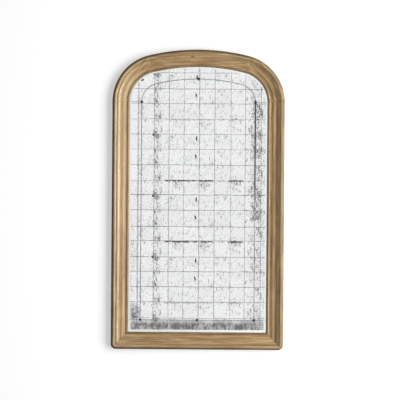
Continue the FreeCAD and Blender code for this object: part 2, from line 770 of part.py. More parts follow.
def make_blocks():
    """Setting blocks that carry the board and the bottom panes on the bottom rail."""
    block = doc.addObject("Part::Box", "setting_block")
    block.setExpression("Length", bound("block_length"))
    block.setExpression("Width", bound("glass_front - board_back"))
    block.setExpression("Height", bound("glass_clearance"))
    half, spread = size("block_length / 2"), size("block_spread")
    front, low = size("glass_front"), size("rebate_inset")
    placements = [spot(way * spread - half, front, low, Rotation()) for way in (-1, 1)]
    return group("setting_blocks", block, placements)


# ---------------------------------------------------------------- fasteners


def turned(name, corners):
    """A body turned about its Z axis from an outline of (radius, height) corners."""
    body = new_body(name)
    sketch = sketch_on(body, "XZ_Plane")
    outline(sketch, corners)
    revolve(body, sketch)
    return body


def cross_recess(body, head_radius, head_height):
    """Cut a cross recess into the top of a screw head."""
    sketch = sketch_on(body, "XY_Plane", ("0", "0", head_height))
    arm, reach = "recess_arm", f"recess_share * {head_radius}"
    quarter = ((reach, f"-{arm}"), (reach, arm), (arm, arm))
    corners = []
    for _ in range(4):
        corners += quarter
        quarter = tuple((f"-({y})", x) for x, y in quarter)
    outline(sketch, corners)
    pocket(body, sketch, "recess_depth")


def screw(name, radius, length, head_radius, head_height):
    """A pan-head screw: the underside of its head at z = 0, its point downwards."""
    corners = (
        ("0", f"-{length}"),
        (radius, f"-({length} - screw_point)"),
        (radius, "0"),
        (head_radius, "0"),
        (head_radius, f"{head_height} / 3"),
        ("0", head_height, "0", 1),
    )
    body = turned(name, corners)
    cross_recess(body, head_radius, head_height)
    return body


def clip_placements():
    """The clips round the frame: stiles, bottom rail, haunches and crown."""
    offset, spring = size("haunch_offset"), size("spring_height")
    inset, half = size("clip_screw_inset"), size("half_width")
    haunch, crown = size("haunch_radius"), size("crown_radius")
    places = []
    for number in counted("stile_clips"):
        z = size(stile_clip_level(number))
        places += [along_member(0, z, turn, inset, half, 0, 0) for turn in (0, 180)]
    for number in counted("rail_clips"):
        x = size(rail_clip_place(number))
        places.append(along_member(x, half, -90, inset, half, 0, 0))
    middle = size("haunch_angle") / 2
    places.append(along_member(offset, spring, middle, inset, haunch, 0, 0))
    places.append(along_member(-offset, spring, 180 - middle, inset, haunch, 0, 0))
    places.append(along_member(0, size("crown_centre"), 90, inset, crown, 0, 0))
    return places


def make_clips():
    """Offset steel clips, screwed to the back of the frame and stepped down onto the board."""
    clip = new_body("clip")
    sketch = sketch_on(clip, "XY_Plane")
    wall, bend_end = "clip_screw_inset - rebate_inset", "clip_screw_inset - pane_edge"
    corners = (
        ("clip_tail", "0"),
        ("clip_tail", "clip_thickness"),
        (f"{wall} - clip_wall_gap", "clip_thickness"),
        (bend_end, "clip_thickness - board_back"),
        (f"{wall} - clip_reach", "clip_thickness - board_back"),
        (f"{wall} - clip_reach", "-board_back"),
        (bend_end, "-board_back"),
        (f"{wall} - clip_wall_gap", "0"),
    )
    outline(sketch, corners)
    pad(clip, sketch, "clip_width", symmetric=True)
    hole = sketch_on(clip, "XZ_Plane")
    circles(hole, [("0", "0")], "clip_screw_radius + plate_clearance")
    pocket(clip, hole, "clip_thickness")
    shape = ("clip_screw_radius", "clip_screw_length", "clip_screw_head", "clip_screw_crown")
    fixing = screw("clip_screw", *shape)
    on_clip = FreeCAD.Placement(Vector(0, size("clip_thickness"), 0), FACING_WALL)
    places = clip_placements()
    return [
        group("retaining_clips", clip, places),
        group("clip_screws", fixing, [place * on_clip for place in places]),
    ]


def make_pins():
    """Domed pins at the pane corners, each on a nylon washer and held in the board."""
    corners = (
        ("0", "-pin_length"),
        ("pin_radius", "-pin_length + pin_radius"),
        ("pin_radius", "0"),
        ("pin_head_radius", "0"),
        ("pin_head_radius", "pin_rim"),
        ("0", "pin_head_height", "0", 1),
    )
    pin = turned("pin", corners)
    bore = "pin_radius + plate_clearance"
    ring = (
        (bore, "0"),
        ("washer_radius", "0"),
        ("washer_radius", "washer_thickness"),
        (bore, "washer_thickness"),
    )
    washer = turned("washer", ring)
    on_glass = size("glass_front")
    on_washer = size("glass_front + washer_thickness")
    places = [(size(x), size(z)) for x, z in PIN_PLACES]
    return [
        group("mirror_pins", pin, [spot(x, on_washer, z, FACING_ROOM) for x, z in places]),
        group("pin_washers", washer, [spot(x, on_glass, z, FACING_ROOM) for x, z in places]),
    ]


def make_hanger(side, way):
    """A strap screwed to the stile, rolled at its top into a knuckle for the ring."""
    body = new_body(f"hanger_plate_{side}")
    strap = sketch_on(body, "YZ_Plane")
    rectangle(strap, "0", "hanger_thickness", "-hanger_length", "0")
    pad(body, strap, "hanger_width", symmetric=True)
    corners = [
        f"Edge{number}"
        for number, edge in enumerate(body.Shape.Edges, start=1)
        if edge.BoundBox.ZMax < -size("hanger_length") + ON_AXIS and edge.BoundBox.XLength < ON_AXIS
    ]
    squared = body.Tip
    rounding = body.newObject("PartDesign::Fillet", f"{body.Label}_rounding")
    rounding.Base = (squared, corners)
    rounding.setExpression("Radius", bound("hanger_corner"))
    doc.recompute()
    knuckle = sketch_on(body, "YZ_Plane")
    circles(knuckle, [("knuckle_radius", "0")], "knuckle_radius")
    pad(body, knuckle, "hanger_width", symmetric=True)
    bore = sketch_on(body, "YZ_Plane", ("0", "0", "hanger_width / 2"))
    circles(bore, [("knuckle_radius", "0")], "knuckle_bore")
    pocket(body, bore, "hanger_width")
    holes = sketch_on(body, "XZ_Plane")
    levels = [f"-hanger_first_screw - {number} * hanger_screw_pitch" for number in counted("hanger_screws")]
    circles(holes, [("0", level) for level in levels], "hanger_screw_radius + plate_clearance")
    pocket(body, holes, "hanger_thickness")
    return put(body, x=f"{way} * (half_width - hanger_inset)", z=RING_AXIS)


def make_ring(side, way):
    """The hanging ring, up against the back of the frame as it is on its wall hook."""
    body = new_body(f"hanging_ring_{side}")
    route = sketch_on(body, "XZ_Plane")
    flat = "ring_half_width - ring_corner"
    shoulder = "ring_reach - ring_half_width"
    corners = (
        (flat, "0"),
        ("ring_half_width", "ring_corner", flat, 1),
        ("ring_half_width", shoulder),
        ("0", "ring_reach", "0", 1),
        ("-ring_half_width", shoulder, "0", 1),
        ("-ring_half_width", "ring_corner"),
        (f"-({flat})", "0", f"-({flat})", 1),
    )
    outline(route, corners)
    wire = sketch_on(body, "YZ_Plane", ("0", "0", flat))
    circles(wire, [("0", "0")], "wire_radius")
    doc.recompute()
    ring = body.newObject("PartDesign::AdditivePipe", f"{body.Label}_pipe")
    ring.Profile = wire
    ring.Spine = route
    doc.recompute()
    put(body, x=f"{way} * (half_width - hanger_inset)", depth="-knuckle_radius", z=RING_AXIS)
    lean = math.degrees(math.asin(size("(knuckle_radius - wire_radius - ring_rest_gap) / ring_reach")))
    body.Placement.Rotation = Rotation(Vector(1, 0, 0), lean)
    return body


def make_hangers():
    sides = {"left": -1, "right": 1}
    parts = [make_hanger(side, way) for side, way in sides.items()]
    parts += [make_ring(side, way) for side, way in sides.items()]
    shape = ("hanger_screw_radius", "hanger_screw_length", "hanger_screw_head", "hanger_screw_crown")
    fixing = screw("hanger_screw", *shape)
    reach, depth = size("half_width - hanger_inset"), -size("hanger_thickness")
    levels = [size(hanger_screw_level(number)) for number in counted("hanger_screws")]
    places = [spot(way * reach, depth, level) for way in sides.values() for level in levels]
    return parts + [group("hanger_screws", fixing, places)]


def make_bumpers():
    """Rubber bumpers that keep the frame off the wall, each with a screw sunk into it."""
    bore = "clip_screw_radius + plate_clearance"
    corners = (
        (bore, "0"),
        ("bumper_radius", "0"),
        ("bumper_face_radius", "stand_off"),
        ("bumper_well_radius", "stand_off"),
        ("bumper_well_radius", "bumper_floor"),
        (bore, "bumper_floor"),
    )
    shape = ("clip_screw_radius", "bumper_screw_length", "clip_screw_head", "clip_screw_crown")
    fixing = screw("bumper_screw", *shape)
    bumpers, screws = [], []
    for level, height in BUMPER_LEVELS.items():
        for side, way in (("left", -1), ("right", 1)):
            bumper = turned(f"wall_bumper_{level}_{side}", corners)
            x = way * size(BUMPER_X)
            bumper.Placement = spot(x, 0, size(height))
            bumpers.append(bumper)
            screws.append(spot(x, -size("bumper_floor"), size(height)))
    return bumpers + [group("bumper_screws", fixing, screws)]


# ---------------------------------------------------------------- checks and files


def write_parts(parts):
    """Stop at anything that failed, then write each part to a file of its own."""
    doc.recompute()
    failed = [thing.Name for thing in doc.Objects if {"Invalid", "Error"} & set(thing.State)]
    failed += [part.Label for part in parts if part.Shape.isNull() or not part.Shape.isValid()]
    if failed:
        raise RuntimeError("failed: " + ", ".join(failed))
    os.makedirs("parts", exist_ok=True)
    for part in parts:
        part.Shape.exportStep(f"parts/{part.Label}.step")
        print(part.Label, len(part.Shape.Solids), "solids", round(part.Shape.Volume), "mm3")


fill_sheet()
frame = make_frame() + make_joints()
glazing = make_panes() + [make_board(), make_tape(), make_mastic(), make_blocks()]
fasteners = make_clips() + make_pins() + make_hangers() + make_bumpers()
write_parts(frame + glazing + fasteners)
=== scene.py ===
"""Arched wall mirror: moulded oak round seven panes of antiqued mirror glass, hung on a pale wall.

Metres. +Z is up, the glass faces -Y and y = 0 is the wall. An inset is a distance in from the outline of
the frame, and a depth is a distance forward from the flat back of the frame.
"""

import math
from contextlib import contextmanager

import bmesh
import bpy
from bpy.props import FloatProperty, FloatVectorProperty, PointerProperty
from mathutils import Matrix, Vector


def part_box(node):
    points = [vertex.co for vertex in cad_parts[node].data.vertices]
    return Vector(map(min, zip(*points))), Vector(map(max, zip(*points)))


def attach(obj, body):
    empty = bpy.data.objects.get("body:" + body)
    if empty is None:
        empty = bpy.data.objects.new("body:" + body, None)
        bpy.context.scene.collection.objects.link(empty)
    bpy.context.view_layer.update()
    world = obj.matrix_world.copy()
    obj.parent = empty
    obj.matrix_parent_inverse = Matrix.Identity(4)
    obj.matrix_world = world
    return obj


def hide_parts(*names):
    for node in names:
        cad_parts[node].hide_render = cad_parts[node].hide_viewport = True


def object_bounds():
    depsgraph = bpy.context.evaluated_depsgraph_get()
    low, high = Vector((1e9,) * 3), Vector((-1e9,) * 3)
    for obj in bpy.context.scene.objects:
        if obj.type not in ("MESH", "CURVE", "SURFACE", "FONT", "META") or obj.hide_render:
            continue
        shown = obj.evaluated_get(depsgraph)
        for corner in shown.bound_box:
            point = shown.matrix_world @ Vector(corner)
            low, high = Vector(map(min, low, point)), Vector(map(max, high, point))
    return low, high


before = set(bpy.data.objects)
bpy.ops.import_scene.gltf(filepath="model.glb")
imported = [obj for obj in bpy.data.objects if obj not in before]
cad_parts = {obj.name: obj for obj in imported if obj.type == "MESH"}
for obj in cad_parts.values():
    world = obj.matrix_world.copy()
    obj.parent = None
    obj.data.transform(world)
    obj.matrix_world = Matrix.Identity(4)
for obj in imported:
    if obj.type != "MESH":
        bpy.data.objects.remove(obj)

bl_info = {
    "name": "Arched Window Mirror",
    "version": (1, 0, 0),
    "blender": (4, 5, 0),
    "location": "3D View > Sidebar > Mirror",
    "description": "Moulded oak frame, antiqued panes and hangers of a wall mirror",
    "category": "Object",
}

CAD_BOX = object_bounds()
LOW, HIGH = (Vector(corner) for corner in CAD_BOX)
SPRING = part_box("left_stile")[1].z
STAND_OFF = -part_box("left_stile")[1].y
MIDDLE = (LOW + HIGH) / 2


# ---------------- sizes and colours a user would change


def length(default, about):
    return FloatProperty(name=about, description=about, default=default, unit="LENGTH", precision=4)


def share(default, about, top=1.0):
    return FloatProperty(name=about, description=about, default=default, min=0.0, max=top, subtype="FACTOR")


def strength(default, about):
    return FloatProperty(name=about, description=about, default=default, min=0.0)


def colour(default, about):
    limits = {"size": 3, "min": 0.0, "max": 1.0, "subtype": "COLOR"}
    return FloatVectorProperty(name=about, description=about, default=default, **limits)


class FrameSizes(bpy.types.PropertyGroup):
    """The outline of the frame and the steps of its moulding."""

    haunch_radius: length(0.278, "Outer radius of the haunches")
    crown_radius: length(1.218, "Outer radius of the crown")
    depth: length(0.045, "Flat back to the ridge of the moulding")
    outer_round: length(0.016, "Radius of the outside edge")
    bead_foot: length(0.025, "Inset of the foot of the bead")
    corner_radius: length(0.029, "Outer radius of the bottom corners")
    bead_depth: length(0.041, "Depth of the foot of the bead")
    upper_turn: share(0.42, "Share of the upper ogee that is convex")
    upper_foot: length(0.055, "Inset of the foot of the upper ogee")
    step_depth: length(0.032, "Depth of the flat between the two ogees")
    lower_head: length(0.059, "Inset of the head of the lower ogee")
    lower_turn: share(0.42, "Share of the lower ogee that is convex")
    groove: length(0.084, "Inset of the groove")
    groove_depth: length(0.026, "Depth of the groove")
    crest: length(0.0905, "Inset of the crest of the sight bead")
    face_width: length(0.100, "Inset of the sight edge")
    sight_depth: length(0.023, "Depth of the sight edge")
    rebate_inset: length(0.090, "Inset of the wall of the rebate")
    rebate_depth: length(0.017, "Depth of the ledge of the rebate")
    worn_edge: length(0.0007, "Rounding of the edges of the moulding")


class GlassSizes(bpy.types.PropertyGroup):
    """The panes and the silver leaf behind them."""

    border_inset: length(0.170, "Inset of the joint round the centre pane")
    arris: length(0.0007, "Ground edge of each pane")
    leaf_pitch: length(0.0887, "Spacing of the leaf overlaps")
    leaf_line: length(0.0030, "Width of a leaf overlap")
    foxing: share(1.0, "Strength of the foxing", top=2.0)


class Finishes(bpy.types.PropertyGroup):
    """The colours of the materials."""

    oak: colour((0.50, 0.338, 0.160), "Body of the oak")
    oak_grain: colour((0.180, 0.100, 0.038), "Dark bands and pores of the oak")
    # Also the colour of the painted highlights: on the ridges, at the right outside edge and on the left stile.
    oak_pale_and_highlight: colour((0.64, 0.48, 0.29), "Oak worn pale along the ridges")
    # Also the colour of the painted shade at the foot of the bead towards the right side.
    patina_and_shade: colour((0.072, 0.050, 0.026), "Old wax in the grooves and at the outside edge")
    umber: colour((0.285, 0.165, 0.070), "Warm dark clouds and streaks in the oak")
    bare_oak: colour((0.50, 0.36, 0.22), "Unfinished back of the frame")
    silver: colour((0.93, 0.935, 0.945), "Sound silver leaf")
    foxed: colour((0.036, 0.037, 0.044), "Tarnished silver leaf")
    # The colour of the painted reflection of the frame's sight edge along the glass.
    edge: colour((0.80, 0.765, 0.70), "Cream edge where the leaf ends")
    bronze: colour((0.010, 0.009, 0.008), "Dark bronze of the pins")
    steel: colour((0.60, 0.61, 0.62), "Zinc-plated steel")
    plywood: colour((0.62, 0.46, 0.29), "Birch plywood")
    rubber: colour((0.025, 0.025, 0.026), "Bumpers, blocks and tape")
    nylon: colour((0.78, 0.76, 0.68), "Washers")
    mastic: colour((0.66, 0.63, 0.56), "Mastic pads")


class StageSettings(bpy.types.PropertyGroup):
    """The light and the room."""

    key_power: strength(480.0, "Power of the light on the mirror")
    wash_power: strength(420.0, "Power of the light on the wall")
    back_power: strength(130.0, "Power of the light on the back of the mirror")
    surround: strength(0.29, "Fill light of the room")
    shown: strength(0.78, "Brightness of the room where it is seen")
    ahead: strength(0.97, "Brightness of the room before the glass")
    floor_drop: length(0.42, "Bottom edge of the mirror above the floor")


SETTINGS = {
    "mirror_frame": FrameSizes,
    "mirror_glass": GlassSizes,
    "mirror_finishes": Finishes,
    "mirror_stage": StageSettings,
}


def settings(name):
    return getattr(bpy.context.scene, f"mirror_{name}")


# ---------------- the outline of the frame


def crown_centre():
    return HIGH.z - settings("frame").crown_radius


def haunch_offset():
    return HIGH.x - settings("frame").haunch_radius


def crown_half_angle():
    sizes = settings("frame")
    return math.asin(haunch_offset() / (sizes.crown_radius - sizes.haunch_radius))


def inset_at(x, z):
    """How far in from the outline of the frame a point is, square to the moulding."""
    sizes = settings("frame")
    across = abs(x)
    if z > SPRING:
        if across > (z - crown_centre()) * math.tan(crown_half_angle()):
            return sizes.haunch_radius - math.hypot(across - haunch_offset(), z - SPRING)
        return sizes.crown_radius - math.hypot(across, z - crown_centre())
    side, bottom, corner = HIGH.x - across, z - LOW.z, sizes.corner_radius
    if max(side, bottom) < corner:
        return corner - math.hypot(corner - side, corner - bottom)
    return min(side, bottom)


# ---------------- mesh work

FIXED = "mirror"
TOUCH = 1e-6
SOFT_EDGE, PLATE_EDGE, SCREW_EDGE, WIRE_EDGE = 0.0006, 0.0003, 0.00015, 0.0001
FLAT_ANGLE, SHARP_ANGLE, SMOOTH_ANGLE = 0.5, 25.0, 32.0


def only(thing):
    """Deselect everything, then make one object selected and active."""
    bpy.ops.object.select_all(action="DESELECT")
    thing.select_set(True)
    bpy.context.view_layer.objects.active = thing


@contextmanager
def editing(thing):
    """Edit one object, with everything in it selected to begin with."""
    only(thing)
    bpy.ops.object.mode_set(mode="EDIT")
    bpy.ops.mesh.select_all(action="SELECT")
    yield
    bpy.ops.object.mode_set(mode="OBJECT")


def close_mesh(thing):
    """Merge the doubles and point every face outwards."""
    with editing(thing):
        bpy.ops.mesh.remove_doubles(threshold=TOUCH)
        bpy.ops.mesh.normals_make_consistent(inside=False)


def soften(thing, width, angle=SHARP_ANGLE):
    """Round the edges sharper than an angle in degrees, and shade the rest smooth."""
    only(thing)
    bpy.ops.object.shade_smooth_by_angle(angle=math.radians(SMOOTH_ANGLE))
    bevel = thing.modifiers.new("worn_edges", "BEVEL")
    bevel.width = width
    bevel.segments = 2
    bevel.limit_method = "ANGLE"
    bevel.angle_limit = math.radians(angle)
    bevel.miter_outer = "MITER_ARC"
    bevel.harden_normals = True
    bpy.ops.object.modifier_apply(modifier=bevel.name)


def dressed_copy(node, name, width, angle=SHARP_ANGLE):
    """A copy of a hidden node with its triangles merged into faces and its edges eased."""
    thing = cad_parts[node].copy()
    thing.data = thing.data.copy()
    thing.name = thing.data.name = name
    thing.parent = None
    for key in list(thing.keys()):
        del thing[key]
    bpy.context.scene.collection.objects.link(thing)
    close_mesh(thing)
    with editing(thing):
        bpy.ops.mesh.dissolve_limited(angle_limit=math.radians(FLAT_ANGLE))
    soften(thing, width, angle)
    return thing


def finish_piece(thing, body, material, node):
    """Give a piece its material and its body, and let it stand for a node."""
    thing.data.materials.clear()
    thing.data.materials.append(material)
    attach(thing, body)
    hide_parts(node)


def dress(node, name, width, material, body=FIXED, angle=SHARP_ANGLE):
    """Let a copy of a node, with its edges eased and a material of its own, stand for it."""
    finish_piece(dressed_copy(node, name, width, angle), body, material, node)


def paint_node(node, material):
    """Give a CAD solid a new material."""
    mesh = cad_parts[node].data
    mesh.materials.clear()
    mesh.materials.append(material)


# ---------------- shader writing

TURN = 2 * math.pi


def sum_of(operation):
    return lambda self, other: self.shader.compute(operation, self, other)


class Value:
    """A number in a node tree, written in sums like any other number."""

    __add__ = __radd__ = sum_of("ADD")
    __mul__ = __rmul__ = sum_of("MULTIPLY")
    __sub__ = sum_of("SUBTRACT")
    __gt__ = sum_of("GREATER_THAN")
    __lt__ = sum_of("LESS_THAN")

    def __init__(self, shader, socket):
        self.shader, self.socket = shader, socket

    def __rsub__(self, other):
        return self.shader.compute("SUBTRACT", other, self)

    def __neg__(self):
        return self * -1.0


class Shader:
    """Writes the node tree of one material or world."""

    def __init__(self, owner):
        owner.use_nodes = True
        self.owner, self.tree = owner, owner.node_tree
        self.tree.nodes.clear()

    def fill(self, socket, value):
        """Link a value to a socket or set it there; a colour is given its alpha."""
        if isinstance(value, Value):
            self.tree.links.new(value.socket, socket)
        else:
            socket.default_value = (*value, 1.0) if socket.type == "RGBA" else value

    def node(self, kind, inputs=None, output=0, **options):
        """Add a node: its settings first, then the values or links of its sockets."""
        node = self.tree.nodes.new("ShaderNode" + kind)
        for key, value in options.items():
            setattr(node, key, value)
        for key, value in (inputs or {}).items():
            self.fill(node.inputs[key], value)
        return Value(self, node.outputs[output]) if node.outputs else None

    def axes(self, vector):
        return [self.node("SeparateXYZ", {0: vector}, output=axis) for axis in "XYZ"]

    def join(self, x, y, z):
        return self.node("CombineXYZ", {0: x, 1: y, 2: z})

    def moved(self, vector, shift=(0, 0, 0), turn=(0, 0, 0), scale=(1, 1, 1)):
        options = {"Location": shift, "Rotation": turn, "Scale": scale}
        return self.node("Mapping", {"Vector": vector, **options})

    def noise(self, vector, scale, detail=2.0, roughness=0.5):
        sockets = {"Vector": vector, "Scale": scale, "Detail": detail, "Roughness": roughness}
        return self.node("TexNoise", sockets)

    def chance(self, vector):
        return self.node("TexWhiteNoise", {"Vector": vector})

    def compute(self, operation, *values):
        return self.node("Math", dict(enumerate(values)), operation=operation)

    def most(self, first, *others):
        for other in others:
            first = self.compute("MAXIMUM", first, other)
        return first

    def least(self, first, second):
        return self.compute("MINIMUM", first, second)

    def clamp(self, value):
        return self.node("Clamp", {"Value": value})

    def choose(self, test, if_true, if_false):
        return if_false + test * (if_true - if_false)

    def distance(self, x, y):
        return self.compute("SQRT", x * x + y * y)

    def ramp(self, value, low, high, start=0.0, end=1.0):
        """Go smoothly from start to end while the value goes from low to high."""
        sockets = {"Value": value, "From Min": low, "From Max": high, "To Min": start, "To Max": end}
        return self.node("MapRange", sockets, interpolation_type="SMOOTHSTEP")

    def band(self, value, middle, width):
        """One at the middle, falling smoothly to nothing a width away."""
        return self.ramp(self.compute("ABSOLUTE", value - middle), 0.0, width, 1.0, 0.0)

    def span(self, value, start, full, fading, end):
        """One from full to fading, and nothing before the start and after the end."""
        return self.ramp(value, start, full) * self.ramp(value, fading, end, 1.0, 0.0)

    def blend(self, factor, first, second):
        """Mix two colours."""
        node = self.tree.nodes.new("ShaderNodeMix")
        node.data_type, node.clamp_factor = "RGBA", True
        colours = [socket for socket in node.inputs if socket.type == "RGBA"]
        for socket, value in zip((node.inputs[0], *colours), (factor, first, second)):
            self.fill(socket, value)
        return Value(self, next(socket for socket in node.outputs if socket.type == "RGBA"))

    def bump(self, height, strength, distance):
        return self.node("Bump", {"Height": height, "Strength": strength, "Distance": distance})

    def principled(self, **sockets):
        """A Principled BSDF; underscores in the names of its sockets stand for spaces."""
        inputs = {key.replace("_", " "): value for key, value in sockets.items()}
        return self.node("BsdfPrincipled", inputs)

    def surface(self, **sockets):
        """End the material in a Principled BSDF."""
        return self.finish(self.principled(**sockets))

    def finish(self, shade):
        self.node("OutputMaterial", {"Surface": shade})
        return self.owner


def new_shader(name):
    """The shader of a new material, its object coordinates and the colours."""
    shader = Shader(bpy.data.materials.new(name))
    return shader, shader.node("TexCoord", output="Object"), settings("finishes")


# ---------------- materials

RING_PITCH, PLY = 0.0075, 0.003
KNOT = (-0.036, 0.4185)


def joint_lines(shader, x, z):
    """Dark where two lengths of the frame meet: strong at the mitres, faint at the joints of the arch."""
    across = shader.compute("ABSOLUTE", x)
    angle = crown_half_angle()
    mitre = shader.band((HIGH.x - across) - (z - LOW.z), 0.0, 0.0022) * (z < LOW.z + 0.12)
    spring = shader.band(z, SPRING, 0.0010) * (across > haunch_offset())
    crown = shader.band(across * math.cos(angle) - (z - crown_centre()) * math.sin(angle), 0.0, 0.0010)
    return shader.most(mitre, shader.most(spring, crown * (z > SPRING)) * 0.35)


def make_oak(name, turn, shift, knot=None):
    """Waxed oak: growth bands, long streaks, fine pores, ridges pale from wear and painted highlight, old wax in
    the grooves, and painted light and shade towards the sides.
    """
    shader, place, look = new_shader(name)
    sizes, ramp, band, blend = settings("frame"), shader.ramp, shader.band, shader.blend
    x, y, z = shader.axes(place)

    # Turned so that X runs along the grain, Y through the thickness and Z across.
    grain = shader.moved(place, shift=shift, turn=(0.0, turn, 0.0))
    u, thick, across = shader.axes(grain)

    def fibres(along, over, detail, roughness=0.5):
        """Noise drawn out along the grain, by its scale along the grain and over it."""
        return shader.noise(shader.moved(grain, scale=(along, over, over)), 1.0, detail, roughness)

    rings = across + thick * 0.5 + fibres(1.6, 5.0, 2.0) * 0.030
    dark_knot = 0.0
    if knot:
        near = ramp(shader.distance((u - knot[0]) * 0.55, across - knot[1]), 0.0, 0.030, 1.0, 0.0)
        rings = rings + near * 0.012
        dark_knot = ramp(near, 0.80, 0.93)
    growth = shader.compute("SINE", rings * (TURN / RING_PITCH)) * 0.5 + 0.5
    streaks = fibres(5.0, 130.0, 4.0, 0.6)
    pores = ramp(fibres(40.0, 1100.0, 2.0), 0.56, 0.70) * ramp(growth, 0.2, 0.9, 0.35, 1.0)
    lines = ramp(fibres(14.0, 420.0, 3.0, 0.6), 0.54, 0.72)
    dashes = ramp(fibres(9.0, 105.0, 2.0), 0.55, 0.61)
    clouds = ramp(fibres(2.2, 11.0, 3.0), 0.46, 0.70)
    dark = ramp(streaks, 0.45, 0.60) * 0.58 + growth * 0.10 + pores * 0.35 + lines * 0.42
    wood = blend(shader.clamp(dark + dark_knot), look.oak, look.oak_grain)
    wood = blend(ramp(streaks, 0.30, 0.44, 0.50, 0.0), wood, look.oak_pale_and_highlight)
    wood = blend(shader.clamp(dashes * 0.62 + clouds * 0.45), wood, look.umber)

    # Pale along the bead and the upper ogee, partly from wear and partly a painted highlight on the ridges.
    inset = shader.node("Attribute", output="Fac", attribute_name="inset")
    handled = fibres(9.0, 60.0, 4.0)
    ridges = band(inset, sizes.outer_round, 0.006) + band(inset, 0.036, 0.006) * 0.6
    wear_and_highlight = shader.clamp(ridges * ramp(handled, 0.38, 0.62, 0.10, 0.5))
    wood = blend(wear_and_highlight * (1.0 - dark * 0.6), wood, look.oak_pale_and_highlight)
    # Painted highlight on the outside edge at the right side, and painted light on the left stile, fainter towards
    # the bottom.
    painted_edge_highlight = ramp(x, 0.15, 0.38) * ramp(inset, 0.010, 0.018, 0.18, 0.0)
    painted_left_light = ramp(x, -0.40, -0.34, 0.32, 0.0) * ramp(z, -1.0, -0.4, 0.15, 1.0)
    wood = blend(shader.most(painted_edge_highlight, painted_left_light), wood, look.oak_pale_and_highlight)

    # Darkened: old wax at the foot of the bead, in the step and in the lower ogee, with painted shade added at the
    # foot of the bead towards the right side; darker towards the outside edge, and from the groove in to the sight
    # edge.
    grooves = (
        # Stronger towards the right side: painted shade.
        band(inset, 0.0300, 0.0100) * ramp(x, 0.12, 0.38, 0.42, 0.88)
        + band(inset, 0.0565, 0.0040) * 0.10
        + band(inset, 0.066, 0.008) * 0.18
        + ramp(inset, 0.008, 0.0190, 1.15, 0.0)
        + ramp(inset, sizes.groove, 0.090, 0.0, 0.60)
        + ramp(inset, 0.095, sizes.face_width, 0.0, 0.3)
        + band(inset, 0.0890, 0.0045) * 0.25
    )
    # Less dark under the painted highlight on the right outside edge.
    wax_and_painted_shade = grooves * ramp(handled, 0.30, 0.62, 1.0, 0.74) * (1.0 - painted_edge_highlight * 1.6)
    joints = joint_lines(shader, x, z)
    wood = blend(shader.clamp(wax_and_painted_shade + joints * 0.75), wood, look.patina_and_shade)
    back = ramp(-y - STAND_OFF, 0.0004, 0.0012, 1.0, 0.0)
    wood = blend(back, wood, blend(shader.clamp(dark * 0.8), look.bare_oak, look.oak_grain))

    height = streaks * 0.25 - lines * 0.35 - pores * 0.8 - joints * 1.5 - dark_knot * 0.5
    rough = shader.clamp(0.40 + pores * 0.18 + grooves * 0.12 + back * 0.30 - wear_and_highlight * 0.06)
    return shader.surface(Base_Color=wood, Roughness=rough, Normal=shader.bump(height, 0.55, 0.0006), IOR=1.46)


def inset_nodes(shader, x, z):
    """The inset of a point of the glass: from the sides and the arch, and from the bottom edge."""
    sizes = settings("frame")
    across = shader.compute("ABSOLUTE", x)
    above = shader.most(z - SPRING, 0.0)
    from_haunch = sizes.haunch_radius - shader.distance(shader.most(across - haunch_offset(), 0.0), above)
    from_crown = sizes.crown_radius - shader.distance(x, z - crown_centre())
    in_haunch = across > (z - crown_centre()) * math.tan(crown_half_angle())
    return shader.choose(in_haunch, from_haunch, from_crown), z - LOW.z


LEAF_COLUMN, LEAF_ROW = 0.0085, -0.2984
ROWS_IN_REPEAT = 4

# Stretches across the glass: where each one starts, is full, begins to fade and ends.
LEFT_COLUMN = (-0.264, -0.256, -0.242, -0.195)
RIGHT_COLUMN = (0.285, 0.330, 0.352, 0.392)
LOW_LEFT = (-0.405, -0.388, -0.375, -0.345)
HEAVY_STRETCHES = ((-0.205, -0.180, 0.085, 0.098), (0.172, 0.185, 0.255, 0.272))

# Stains below the heavy rows: the middle and the half width of each one.
STAINS = ((-0.120, 0.042), (0.040, 0.040), (0.222, 0.038))

# The foxed band above the bottom rail: the heights where it starts, is full, begins to thin and ends.
LOW_BAND = (-1.181, -1.160, -1.140, -1.112)

# The calm strip of the left border gives way to the foxing between these two places.
CALM_EDGE = (-0.362, -0.352)

# Marks that come back below each heavy row: place, half sizes, lean and strength.
MARKS = (
    ((-0.010, -0.112), (0.0060, 0.019), 0.0, 1.0),
    ((-0.014, -0.215), (0.0060, 0.016), 0.3, 1.0),
    ((0.118, -0.190), (0.014, 0.0055), -0.8, 0.4),
    ((0.136, -0.212), (0.012, 0.0050), -1.1, 0.4),
    ((-0.262, -0.092), (0.0075, 0.0105), 0.2, 1.0),
)


def leaf_overlaps(shader, coordinate, first, seed):
    """Distance to the nearest overlap of the leaf, in leaf pitches, and the strength of that overlap."""
    steps = (coordinate - first) * (1.0 / settings("glass").leaf_pitch)
    nearest = shader.compute("ROUND", steps)
    stray = (shader.chance(shader.join(nearest, seed, 0.0)) - 0.5) * 0.09
    strength = shader.chance(shader.join(nearest, seed, 5.0))
    return shader.compute("ABSOLUTE", steps - nearest - stray), strength * 0.45 + 0.55


